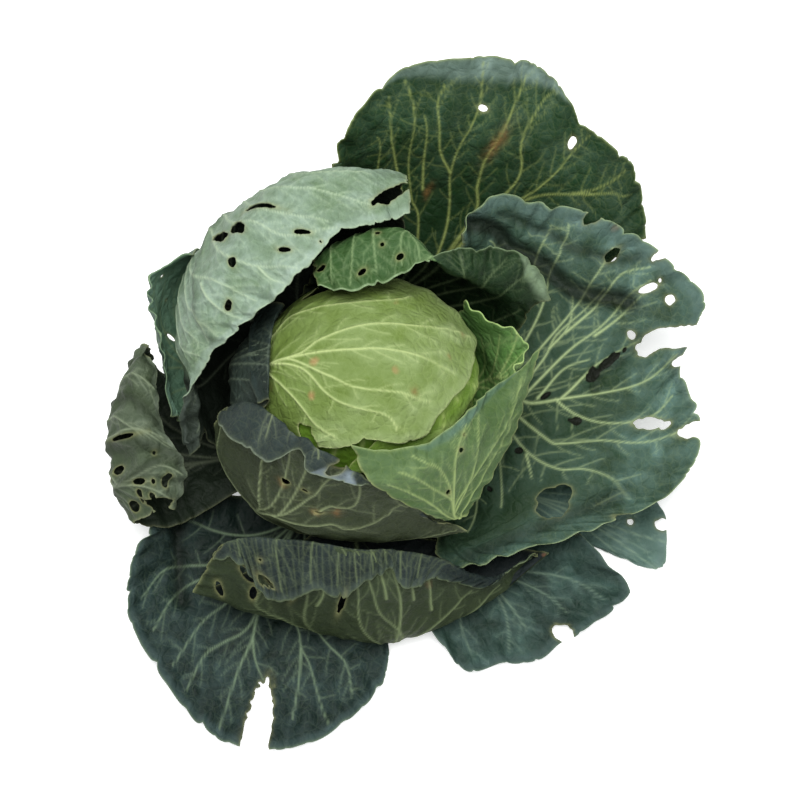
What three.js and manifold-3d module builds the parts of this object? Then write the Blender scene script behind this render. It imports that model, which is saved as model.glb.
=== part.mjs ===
// A head of cabbage as cut in the field, with its loose outer leaves still on the stump.
// Millimetres, +Z up. The origin is the centre of the stump's cut face, which rests on the table.

import * as THREE from "three";
import { mergeVertices } from "three/addons/utils/BufferGeometryUtils.js";
import Module from "manifold-3d";

const wasm = await Module();
wasm.setup();

// The stump
const STUMP_RADIUS = 22;
const STUMP_HEIGHT = 40;
const STUMP_SIDES = 28;

// The heart: the dense ball of leaves that have grown tight over one another
const HEART_CENTRE = [6, 4, 117];
const HEART_RADIUS = 81;
const HEART_HALF_HEIGHT = 76.5;
const HEART_SIDES = 28;
const HEART_BANDS = 18;

// A leaf blade
const BLADE = 1.3;
const STALK = 4;
const STALK_REACH = 0.3;
const MIDRIB = 1.6;
const MIDRIB_HALF_WIDTH = 0.045;
const SEAT_HALF_ANGLE = 38;
const GAP = 0.4;
const TABLE_GAP = 0.2;
const ROWS_PER_RING = 2;
const SLOPE_STEP = 0.004;
const BITE_SIDES = 8;
const BITE_REACH = 5;

// Every leaf is a sheet drawn over rings that run across it, from its foot on the stump to its margin.
// A ring's points go counter-clockwise seen from above; each is heading in degrees, distance from the
// stump's axis and height. seat is the heading and height at which the foot meets the stump.
// A bite is its place across the leaf and out from the stump, both from 0 to 1, its half width across
// and half length outward in millimetres, and how far it is turned in degrees.
// over is how far above the heart a leaf that lies on it stays.
// The leaves are listed from the heart outward: each one lies over the one before where they meet.
const LEAVES = [
  {
    name: "heart_leaf",
    colour: 0x93ad52,
    columns: 12,
    rowsPerRing: 3,
    over: 3.2,
    rings: [
      [[160, 75, 90], [190, 73, 90], [220, 72, 90]],
      [[150, 78, 135], [190, 75, 135], [232, 75, 135]],
      [[120, 50, 180], [190, 40, 182], [255, 48, 177]],
      [[65, 45, 186], [10, 40, 189], [300, 45, 182]],
      [[62, 83, 148], [30, 88, 135], [10, 87, 140], [350, 81, 150], [330, 75, 158], [308, 69, 162],
        [280, 70, 156], [258, 71, 150]],
    ],
    bites: [],
  },
  {
    name: "cap_leaf",
    colour: 0xa2bc72,
    columns: 18,
    rowsPerRing: 3,
    over: 7.2,
    rings: [
      [[145, 77, 85], [178, 75, 85], [212, 73, 85]],
      [[112, 85, 138], [145, 81, 138], [178, 78, 138], [212, 77, 138], [245, 78, 138]],
      [[124, 73, 160], [148, 64, 167], [169, 61, 169], [195, 57, 171], [223, 59, 169]],
      [[80, 70, 168], [49, 50, 187], [7, 30, 195], [308, 33, 192], [261, 46, 183]],
      [[105, 74, 161], [75, 79, 160], [51, 84, 156], [38, 88, 148], [25, 90, 142], [12, 84, 155],
        [353, 74, 167], [333, 65, 174], [310, 66, 170], [298, 61, 173], [278, 54, 178], [259, 58, 172],
        [240, 63, 166]],
    ],
    bites: [],
  },
  {
    name: "right_inner_leaf",
    colour: 0x5d7f3c,
    columns: 10,
    seat: [15, 38],
    rings: [
      [[352, 60, 47], [15, 62, 47], [36, 60, 47]],
      [[347, 95, 82], [15, 98, 82], [42, 95, 82]],
      [[346, 102, 110], [10, 108, 114], [42, 102, 118]],
      [[345, 98, 132], [358, 108, 136], [8, 117, 140], [13, 128, 146], [19, 120, 156], [25, 107, 162],
        [38, 98, 162]],
    ],
    bites: [],
  },
  {
    name: "left_inner_leaf",
    colour: 0x4d6257,
    columns: 10,
    seat: [170, 38],
    rings: [
      [[158, 60, 47], [170, 62, 47], [184, 60, 47]],
      [[140, 92, 82], [170, 94, 82], [202, 90, 82]],
      [[134, 97, 122], [165, 98, 124], [200, 93, 128]],
      [[135, 81, 160], [150, 73, 170], [168, 67, 175], [185, 66, 175], [198, 70, 167]],
      [[138, 94, 150], [150, 92, 146], [165, 86, 150], [183, 79, 158], [197, 76, 163]],
    ],
    bites: [],
  },
  {
    name: "front_wrap_leaf",
    colour: 0x66765a,
    columns: 20,
    seat: [222, 34],
    rings: [
      [[211, 60, 41], [222, 62, 40], [233, 60, 41]],
      [[200, 104, 76], [222, 106, 72], [244, 104, 76]],
      [[190, 112, 112], [205, 112, 112], [228, 108, 112], [250, 107, 108], [275, 106, 98],
        [296, 110, 88], [308, 124, 88]],
      [[189, 100, 138], [196, 84, 162], [211, 72, 178], [232, 71, 179], [252, 71, 180], [268, 78, 172],
        [285, 88, 150], [297, 101, 116]],
      [[192, 106, 130], [203, 105, 149], [214, 97, 157], [226, 92, 163], [236, 75, 179],
        [243, 84, 173], [254, 84, 172], [268, 86, 170], [285, 85, 158], [295, 97, 130]],
    ],
    bites: [],
  },
  {
    name: "right_wrap_leaf",
    colour: 0x849b58,
    columns: 16,
    seat: [313, 34],
    rings: [
      [[304, 60, 41], [313, 62, 40], [322, 60, 41]],
      [[309, 106, 78], [317, 108, 76], [327, 106, 78]],
      [[298, 109, 130], [306, 113, 120], [317, 117, 112]],
      [[276, 88, 174], [296, 91, 173], [315, 94, 167], [332, 101, 156], [343, 119, 126]],
      [[263, 62, 188], [280, 65, 185], [300, 70, 182], [320, 76, 177], [338, 83, 169], [354, 94, 154],
        [2, 106, 147], [8, 124, 143], [13, 139, 141]],
    ],
    bites: [],
  },
  {
    name: "back_curl_leaf",
    colour: 0x7c9a6c,
    columns: 18,
    seat: [80, 34],
    rings: [
      [[50, 62, 40], [80, 62, 40], [108, 62, 40]],
      [[24, 104, 66], [75, 102, 64], [120, 100, 67]],
      [[24, 130, 112], [45, 122, 118], [75, 118, 125], [108, 112, 128]],
      [[24, 142, 148], [30, 128, 168], [38, 108, 182], [49, 95, 193], [74, 104, 200], [100, 92, 194],
        [115, 86, 187]],
      [[23, 156, 165], [33, 150, 185], [41, 132, 198], [52, 103, 204], [57, 85, 203], [65, 67, 202],
        [98, 50, 203], [119, 66, 197]],
    ],
    bites: [[0.95, 0.88, 3.5, 3.5, 0]],
  },
  {
    name: "left_curl_leaf",
    colour: 0x8fae93,
    columns: 22,
    seat: [130, 27],
    rings: [
      [[86, 90, 36], [120, 95, 34], [160, 88, 34]],
      [[76, 140, 85], [105, 150, 80], [135, 148, 76], [166, 124, 68], [190, 112, 54]],
      [[78, 158, 150], [94, 163, 150], [108, 170, 145], [124, 172, 135], [140, 168, 122],
        [156, 152, 108], [170, 136, 104], [188, 122, 84]],
      [[76, 148, 196], [95, 146, 206], [115, 142, 206], [135, 132, 196], [155, 134, 165],
        [168, 134, 138], [180, 122, 118], [194, 124, 92]],
      [[71, 118, 205], [82, 102, 210], [100, 93, 211], [123, 74, 209], [144, 76, 198],
        [163, 96, 175], [176, 121, 142], [184, 136, 104], [195, 133, 82]],
    ],
    bites: [
      [0.45, 0.74, 7, 9, 0], [0.41, 0.78, 6, 8, 0], [0.34, 0.8, 15, 2.2, 132],
      [0.31, 0.94, 6, 2.2, 133], [0.55, 0.91, 4.5, 3.5, 0], [0.46, 0.85, 3.7, 3.7, 0],
    ],
  },
  {
    name: "right_leaf",
    colour: 0x5c7f72,
    columns: 26,
    seat: [5, 21],
    rings: [
      [[318, 78, 23], [5, 84, 28], [52, 82, 32]],
      [[302, 112, 34], [330, 122, 38], [8, 128, 58], [40, 142, 74], [64, 140, 86]],
      [[298, 124, 42], [318, 138, 38], [336, 165, 38], [350, 205, 46], [3, 212, 56], [15, 218, 66],
        [27, 220, 80], [38, 205, 92], [50, 185, 100], [60, 150, 106]],
      [[297, 136, 48], [316, 153, 42], [332, 188, 42], [345, 237, 42], [354, 262, 48], [2, 265, 55],
        [10, 254, 62], [16, 277, 68], [21, 287, 76], [29, 270, 90], [37, 250, 102], [46, 225, 112],
        [58, 194, 128], [61, 152, 124]],
    ],
    bites: [
      [0.73, 0.86, 8.3, 3.8, 79], [0.65, 0.86, 8.5, 3, 89], [0.62, 0.9, 4, 4, 0],
      [0.545, 0.93, 10, 20, 0], [0.55, 0.8, 6, 9, 0], [0.41, 0.81, 12, 4.5, 111],
      [0.25, 0.675, 12, 13, 0],
    ],
  },
  {
    name: "front_cup_leaf",
    colour: 0x6c7f5c,
    columns: 20,
    seat: [268, 17],
    rings: [
      [[246, 80, 15], [268, 85, 14], [292, 80, 15]],
      [[227, 177, 38], [236, 167, 28], [250, 157, 20], [269, 162, 16], [288, 162, 17], [303, 160, 19],
        [313, 162, 21], [326, 168, 24]],
      [[226, 172, 62], [245, 146, 62], [262, 140, 66], [280, 142, 62], [296, 150, 42], [310, 161, 29],
        [325, 168, 27]],
      [[225, 152, 82], [228, 138, 90], [235, 126, 95], [247, 115, 97], [259, 111, 97], [270, 112, 95],
        [281, 114, 93], [290, 119, 86], [299, 130, 70], [305, 146, 47], [312, 160, 35], [324, 168, 30]],
      [[226, 156, 76], [235, 144, 78], [244, 152, 70], [250, 147, 68], [256, 137, 73], [264, 138, 70],
        [270, 128, 76], [279, 121, 82], [283, 133, 76], [287, 136, 72], [293, 134, 68], [300, 141, 52],
        [308, 155, 37], [325, 170, 31]],
    ],
    bites: [
      [0.095, 0.64, 8.8, 3, 118], [0.15, 0.64, 11, 3.6, 118], [0.12, 0.56, 7, 2.8, 118],
      [0.055, 0.53, 7, 2.6, 140], [0.36, 0.57, 2.2, 12, 0],
    ],
  },
  {
    name: "left_stand_leaf",
    colour: 0x3f5c50,
    columns: 12,
    seat: [152, 22],
    rings: [
      [[138, 88, 26], [155, 90, 25], [175, 85, 25]],
      [[135, 165, 72], [152, 165, 66], [168, 148, 55], [182, 132, 46]],
      [[135, 179, 110], [150, 180, 105], [163, 158, 88], [180, 144, 68]],
      [[139, 167, 139], [143, 176, 140], [149, 183, 135], [155, 176, 122], [162, 160, 104],
        [171, 152, 88], [181, 147, 78]],
    ],
    bites: [],
  },
  {
    name: "left_eaten_leaf",
    colour: 0x76836e,
    columns: 16,
    seat: [190, 18],
    rings: [
      [[170, 90, 20], [187, 88, 18], [204, 88, 16]],
      [[164, 168, 46], [187, 165, 38], [208, 160, 30]],
      [[163, 174, 90], [172, 180, 88], [179, 188, 82], [187, 192, 76], [195, 195, 66], [205, 193, 52]],
      [[164, 170, 112], [172, 172, 116], [180, 172, 112], [188, 170, 106], [198, 166, 96],
        [207, 176, 76]],
      [[166, 158, 108], [177, 152, 104], [187, 148, 96], [194, 142, 88], [201, 138, 80],
        [207, 156, 62]],
    ],
    bites: [
      [0.62, 0.73, 1.8, 12, 0], [0.77, 0.67, 3, 6, 0], [0.84, 0.75, 2.4, 5, 0],
      [0.85, 0.89, 5.5, 4, 0], [0.96, 0.86, 6, 11, 0], [0.94, 0.69, 5, 4, 0],
    ],
  },
  {
    name: "back_leaf",
    colour: 0x3f6a4c,
    columns: 22,
    seat: [68, 12],
    rings: [
      [[46, 95, 20], [68, 100, 23], [92, 98, 24]],
      [[34, 180, 40], [50, 190, 58], [68, 182, 76], [84, 174, 86], [98, 166, 78]],
      [[34, 232, 58], [42, 250, 85], [54, 248, 122], [68, 226, 146], [82, 210, 150], [97, 188, 126]],
      [[34, 273, 73], [38, 285, 95], [43, 288, 120], [50, 279, 140], [59, 286, 165], [65, 281, 178],
        [73, 262, 185], [83, 243, 182], [93, 206, 168], [97, 186, 130]],
    ],
    bites: [
      [0.59, 0.82, 3.8, 2.4, 0], [0.36, 0.85, 3.2, 5.5, 0],
    ],
  },
  {
    name: "front_right_leaf",
    colour: 0x3c5a50,
    columns: 16,
    seat: [312, 11],
    rings: [
      [[297, 85, 8], [312, 88, 8], [328, 85, 9]],
      [[289, 128, 9], [305, 150, 7], [320, 165, 6], [336, 150, 13]],
      [[288, 159, 13], [293, 200, 5], [301, 208, 2], [309, 224, 2], [321, 234, 4], [330, 244, 9],
        [333, 214, 20], [336, 188, 23]],
    ],
    bites: [[0.51, 0.96, 6, 9, 0]],
  },
  {
    name: "right_low_leaf",
    colour: 0x37554a,
    columns: 10,
    seat: [340, 6],
    rings: [
      [[328, 85, 3.5], [340, 88, 3.5], [352, 85, 4]],
      [[330, 150, 4], [341, 165, 5], [352, 160, 7]],
      [[332, 196, 4], [333, 226, 3], [335, 259, 2], [341, 257, 3], [347, 247, 9], [354, 225, 16]],
    ],
    bites: [[0.71, 0.98, 5, 6, 0]],
  },
  {
    name: "front_left_leaf",
    colour: 0x3e5955,
    columns: 20,
    seat: [232, 7],
    rings: [
      [[208, 88, 7], [232, 90, 6], [257, 88, 5]],
      [[200, 135, 18], [215, 165, 12], [235, 180, 5], [258, 170, 4], [277, 130, 5]],
      [[204, 178, 36], [210, 205, 30], [219, 230, 19], [234, 247, 8], [246, 260, 3], [259, 247, 2],
        [273, 207, 3], [279, 163, 6]],
    ],
    bites: [[0.635, 1, 11, 54, 0]],
  },
];

function finish(colour, roughness) {
  return new THREE.MeshStandardMaterial({ color: colour, roughness, metalness: 0, flatShading: true });
}

function spot(heading, distance, height) {
  const angle = THREE.MathUtils.degToRad(heading);
  return new THREE.Vector3(distance * Math.cos(angle), distance * Math.sin(angle), height);
}

function smoothLine(points) {
  return new THREE.CatmullRomCurve3(points, false, "catmullrom", 0.5);
}

// The foot of a leaf is an arc round the stump.
function footPoint([heading, height], across) {
  return spot(heading + SEAT_HALF_ANGLE * (2 * across - 1), STUMP_RADIUS + GAP, height);
}

// A point that would be nearer to the heart than the given distance is moved straight out from its centre.
function keptOffHeart(point, over) {
  const fromCentre = point.clone().sub(new THREE.Vector3(...HEART_CENTRE));
  const round = new THREE.Vector3(
    fromCentre.x / (HEART_RADIUS + over),
    fromCentre.y / (HEART_RADIUS + over),
    fromCentre.z / (HEART_HALF_HEIGHT + over),
  );
  const share = round.length();
  if (share < 1) {
    point.addScaledVector(fromCentre, 1 / share - 1);
  }
  return point;
}

// The leaf's upper face: a smooth line along each ring at one place across, then a smooth line through
// the points that this gives, from the foot outward.
function surfaceOf(leaf) {
  const rings = leaf.rings.map((ring) => smoothLine(ring.map((place) => spot(...place))));
  return (across, outward) => {
    const points = rings.map((ring) => ring.getPoint(across));
    if (leaf.seat) {
      points.unshift(footPoint(leaf.seat, across));
    }
    const point = smoothLine(points).getPoint(outward);
    return leaf.over ? keptOffHeart(point, leaf.over) : point;
  };
}

// The way out of the upper face, which looks to the heart on a leaf that wraps it, with the two
// directions in the face: across the leaf and outward.
function frameAt(surface, across, outward) {
  const a0 = Math.max(across - SLOPE_STEP, 0);
  const a1 = Math.min(across + SLOPE_STEP, 1);
  const r0 = Math.max(outward - SLOPE_STEP, 0);
  const r1 = Math.min(outward + SLOPE_STEP, 1);
  const acrossWay = surface(a1, outward).sub(surface(a0, outward)).normalize();
  const outwardWay = surface(across, r1).sub(surface(across, r0)).normalize();
  const normal = outwardWay.clone().cross(acrossWay).normalize();
  return { acrossWay, outwardWay, normal };
}

// A leaf is thick where its stalk meets the stump and along its midrib, and thin at the margin.
function thicknessAt(leaf, across, outward) {
  const stalk = leaf.seat ? Math.max(1 - outward / STALK_REACH, 0) : 0;
  const rib = leaf.over ? 0 : Math.exp(-(((across - 0.5) / MIDRIB_HALF_WIDTH) ** 2)) * (1 - outward);
  return BLADE + (STALK - BLADE) * stalk + MIDRIB * rib * (1 - stalk);
}

// The two faces of a leaf as rows of points. With grow above zero they are those of the leaf with that
// much air round it.
function bladeFaces(leaf, grow) {
  const surface = surfaceOf(leaf);
  const gaps = leaf.rings.length - (leaf.seat ? 0 : 1);
  const rows = gaps * (leaf.rowsPerRing ?? ROWS_PER_RING);
  const upper = [];
  const under = [];
  for (let i = 0; i <= leaf.columns; i += 1) {
    const across = i / leaf.columns;
    upper.push([]);
    under.push([]);
    for (let j = 0; j <= rows; j += 1) {
      const outward = j / rows;
      const point = surface(across, outward);
      const { acrossWay, outwardWay, normal } = frameAt(surface, across, outward);
      const thickness = thicknessAt(leaf, across, outward);
      if (j === rows) {
        point.addScaledVector(outwardWay, grow);
      }
      if (i === 0 || i === leaf.columns) {
        point.addScaledVector(acrossWay, i === 0 ? -grow : grow);
      }
      const top = point.clone().addScaledVector(normal, grow);
      const bottom = point.clone().addScaledVector(normal, -thickness - grow);
      bottom.z = Math.max(bottom.z, TABLE_GAP - grow);
      top.z = Math.max(top.z, TABLE_GAP + BLADE + grow);
      upper[i].push(top);
      under[i].push(bottom);
    }
  }
  return { upper, under };
}

// One closed sheet: both faces split into triangles alike, and a thin wall round the margin.
function bladeSolid(leaf, grow) {
  const { upper, under } = bladeFaces(leaf, grow);
  const columns = upper.length;
  const rows = upper[0].length;
  const count = columns * rows;
  const points = [...upper.flat(), ...under.flat()];
  const faces = [];
  const quad = (a, b, c, d) => faces.push(a, b, c, a, c, d);
  for (let i = 0; i < columns - 1; i += 1) {
    for (let j = 0; j < rows - 1; j += 1) {
      const a = i * rows + j;
      const [b, c, d] = [a + 1, a + rows + 1, a + rows];
      quad(a, b, c, d);
      quad(count + c, count + b, count + a, count + d);
    }
  }
  for (let i = 0; i < columns - 1; i += 1) {
    const foot = i * rows;
    const rim = foot + rows - 1;
    quad(foot, foot + rows, count + foot + rows, count + foot);
    quad(rim + rows, rim, count + rim, count + rim + rows);
  }
  for (let j = 0; j < rows - 1; j += 1) {
    const far = (columns - 1) * rows + j;
    quad(j + 1, j, count + j, count + j + 1);
    quad(far, far + 1, count + far + 1, count + far);
  }
  return solidOf(points.flatMap((point) => point.toArray()), faces);
}

function solidOf(coordinates, faces) {
  return new wasm.Manifold(
    new wasm.Mesh({
      numProp: 3,
      vertProperties: new Float32Array(coordinates),
      triVerts: new Uint32Array(faces),
    }),
  );
}

function solidFromGeometry(geometry) {
  geometry.deleteAttribute("normal");
  geometry.deleteAttribute("uv");
  const merged = mergeVertices(geometry);
  return solidOf(merged.attributes.position.array, merged.index.array);
}

function meshFromSolid(name, solid, material) {
  const { vertProperties, triVerts } = solid.getMesh();
  const geometry = new THREE.BufferGeometry();
  geometry.setAttribute("position", new THREE.BufferAttribute(vertProperties, 3));
  geometry.setIndex(new THREE.BufferAttribute(triVerts, 1));
  geometry.computeVertexNormals();
  const mesh = new THREE.Mesh(geometry, material);
  mesh.name = name;
  return mesh;
}

// A caterpillar's bite is an oval plug square to the leaf.
function biteSolid(surface, [across, outward, halfWidth, halfLength, turn]) {
  const centre = surface(across, outward);
  const { acrossWay, outwardWay, normal } = frameAt(surface, across, outward);
  const plug = new THREE.CylinderGeometry(1, 1, 2 * BITE_REACH, BITE_SIDES);
  plug.scale(halfWidth, 1, halfLength);
  plug.rotateY(THREE.MathUtils.degToRad(-turn));
  plug.applyMatrix4(new THREE.Matrix4().makeBasis(acrossWay, normal, outwardWay));
  plug.translate(centre.x, centre.y, centre.z);
  return solidFromGeometry(plug);
}

function largestPiece(solid) {
  return solid.decompose().reduce((best, piece) => (piece.volume() > best.volume() ? piece : best));
}

function leafSolid(leaf, neighbours) {
  const surface = surfaceOf(leaf);
  let solid = bladeSolid(leaf, 0);
  for (const bite of leaf.bites) {
    solid = solid.subtract(biteSolid(surface, bite));
  }
  for (const neighbour of neighbours) {
    if (!solid.intersect(neighbour).isEmpty()) {
      solid = solid.subtract(neighbour);
    }
  }
  return largestPiece(solid);
}

function stumpGeometry(grow) {
  const geometry = new THREE.CylinderGeometry(
    STUMP_RADIUS + grow,
    STUMP_RADIUS + grow,
    STUMP_HEIGHT + grow,
    STUMP_SIDES,
  );
  geometry.rotateX(Math.PI / 2);
  geometry.translate(0, 0, (STUMP_HEIGHT + grow) / 2);
  return geometry;
}

function heartGeometry(grow) {
  const geometry = new THREE.SphereGeometry(1, HEART_SIDES, HEART_BANDS);
  geometry.rotateX(Math.PI / 2);
  geometry.scale(HEART_RADIUS + grow, HEART_RADIUS + grow, HEART_HALF_HEIGHT + grow);
  geometry.translate(...HEART_CENTRE);
  return geometry;
}

const cabbage = new THREE.Group();
cabbage.add(meshFromSolid("stem", solidFromGeometry(stumpGeometry(0)), finish(0xb9c59a, 0.7)));
cabbage.add(meshFromSolid("heart", solidFromGeometry(heartGeometry(0)), finish(0x9db567, 0.55)));

const placed = [solidFromGeometry(heartGeometry(GAP))];
for (const leaf of LEAVES) {
  const solid = leafSolid(leaf, placed);
  cabbage.add(meshFromSolid(leaf.name, solid, finish(leaf.colour, 0.6)));
  placed.push(bladeSolid(leaf, GAP));
}

export default cabbage;
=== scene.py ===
"""A head of green cabbage as cut in the field, with its loose, insect-eaten outer leaves.

Metres, +Z up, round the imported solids. Every leaf is a sheet worked out on a grid: a is the place across
it and r the place outward from the stump, both from 0 to 1. Its upper face looks to the heart on a leaf
that wraps it and up on a leaf that is spread out.
"""

import itertools
import math

import bpy
import numpy as np
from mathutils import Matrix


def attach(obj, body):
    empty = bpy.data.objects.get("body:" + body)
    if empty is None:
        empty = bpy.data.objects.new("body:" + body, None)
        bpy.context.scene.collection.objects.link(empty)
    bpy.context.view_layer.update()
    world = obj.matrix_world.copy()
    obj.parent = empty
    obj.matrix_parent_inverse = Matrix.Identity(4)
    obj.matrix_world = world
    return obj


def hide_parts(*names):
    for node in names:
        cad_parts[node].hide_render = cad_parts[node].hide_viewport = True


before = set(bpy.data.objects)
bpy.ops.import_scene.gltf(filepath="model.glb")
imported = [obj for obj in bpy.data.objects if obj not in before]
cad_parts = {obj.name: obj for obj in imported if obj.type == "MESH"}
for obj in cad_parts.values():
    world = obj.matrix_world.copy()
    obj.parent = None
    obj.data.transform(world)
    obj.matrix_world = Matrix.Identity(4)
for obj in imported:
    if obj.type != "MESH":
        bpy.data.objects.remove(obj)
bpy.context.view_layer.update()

MM = 0.001

# The view: 70 degrees up, 1.5 m from the middle of the head, which lies a little left of the middle
VIEW_HEIGHT = math.radians(70)
VIEW_DISTANCE = 1.5
VIEW_CENTRE = (0.0, 0.0, 0.115)
LENS = 90.0
SENSOR = 36.0
PICTURE = 800
CENTRE_PIXEL = (360, 398)

# The stump and the heart
STUMP_RADIUS = 22 * MM
STUMP_HEIGHT = 40 * MM
HEART_CENTRE = np.array([6, 4, 117]) * MM
HEART_RADII = np.array([81, 81, 76.5]) * MM

# A leaf blade
BLADE = 0.9 * MM
STALK = 4 * MM
STALK_REACH = 0.3
MIDRIB = 1.6 * MM
MIDRIB_HALF_WIDTH = 0.045
SEAT_GAP = 0.4 * MM
SEAT_HALF_ANGLE = 38
TABLE_GAP = 0.2 * MM

# The grid of a leaf
STEP = 1.1 * MM
MOST_CELLS = 47000
FOOT_STEP_SHARE = 0.45
TRIAL = 241

# Veins: half widths at the start and the end, and how they leave and colour the blade
MIDRIB_VEIN = 2.4 * MM
MAIN_VEIN = 1.4 * MM
MAIN_VEIN_END = 0.75 * MM
SIDE_VEIN = (0.9 * MM, 0.65 * MM)
FRINGE_VEIN = (0.8 * MM, 0.6 * MM)
SIDE_VEIN_STEP = 14 * MM
SIDE_VEIN_ANGLE = 46
SIDE_VEIN_TURN = 9
SIDE_VEIN_LENGTH = (15, 30)
SIDE_VEIN_KNOTS = 7
SIDE_RIDGE_SHARE = 0.45
SIDE_TINT_SHARE = 0.48
VEIN_REACH = 11 * MM
MAIN_REACH = 26 * MM
VEIN_SAMPLE = 3 * MM
RIDGE_SHARE = 0.8
UPPER_RIDGE_SHARE = 0.5

# Relief of the blade: heights are factors on the leaf's puff and ruffle
BILLOW_WIDTH = 15 * MM
BILLOW = 1.7
PUFF_WIDTH = 6 * MM
PILLOW = 1.6
ROUGHNESS = ((0.9, 19 * MM), (0.4, 7 * MM))
CRIMP = 1.7
SIDE_CRIMP_SHARE = 0.7
FLARE_REACH = 9 * MM
PIT_DEPTH = 2
CALM_FOOT = (10 * MM, 45 * MM)
LATTICE = 32

# Margins, bites and spots
LOBE = 17 * MM
TOOTH = 6 * MM
SIDE_CUT = 0.02 * MM
RAGGED_SHARE = 0.35
RAGGED_MOST = 2.6 * MM
RAGGED_GRAINS = ((0.55, 3.1 * MM), (0.45, 6.5 * MM))
BITE_HEIGHT = 12 * MM
SPOT_UNEVEN = 0.35
SPOT_GRAIN = 3.3 * MM
MARGIN_WIDTH = 0.9 * MM
BITTEN_WIDTH = 0.8 * MM
# The crease depth at which the painted shade along a crease is full
CREASE_SHADE_DEPTH = 6
PLAIN_MARGIN_BAND = (7, 0.5, 1.0)
NEVER_DIM = (2, 3)

# The shader of the leaves, with how many clouds and cells of its textures go to a metre
LEAF_SPECULAR = 0.13
LEAF_ROUGHNESS = 0.48
CLOUDS = 26
FINE_CLOUDS = 210
WAX_CLOUDS = 44
BEND_CLOUDS = 90
BEND = 0.006
COARSE_NET = 130
FINE_NET = 330
SPECK_CELLS = 34.0

# The layers of leaves over the heart: the heading and the tilt of the circle where each ends
HEART_LAYERS = ((200, 0.15), (320, 0.02), (80, -0.1))
LAYER_DEPTH = 2.6
LAYER_STEP = 0.85
HEART_RIBS = 22
RIB_HEIGHT = 0.25

# What the points of a leaf say to its skin
MARKS = ("vein", "margin", "bitten", "bloom_and_light_band", "gap", "stain", "shaded_pit", "reach", "crease_shade")
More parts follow.
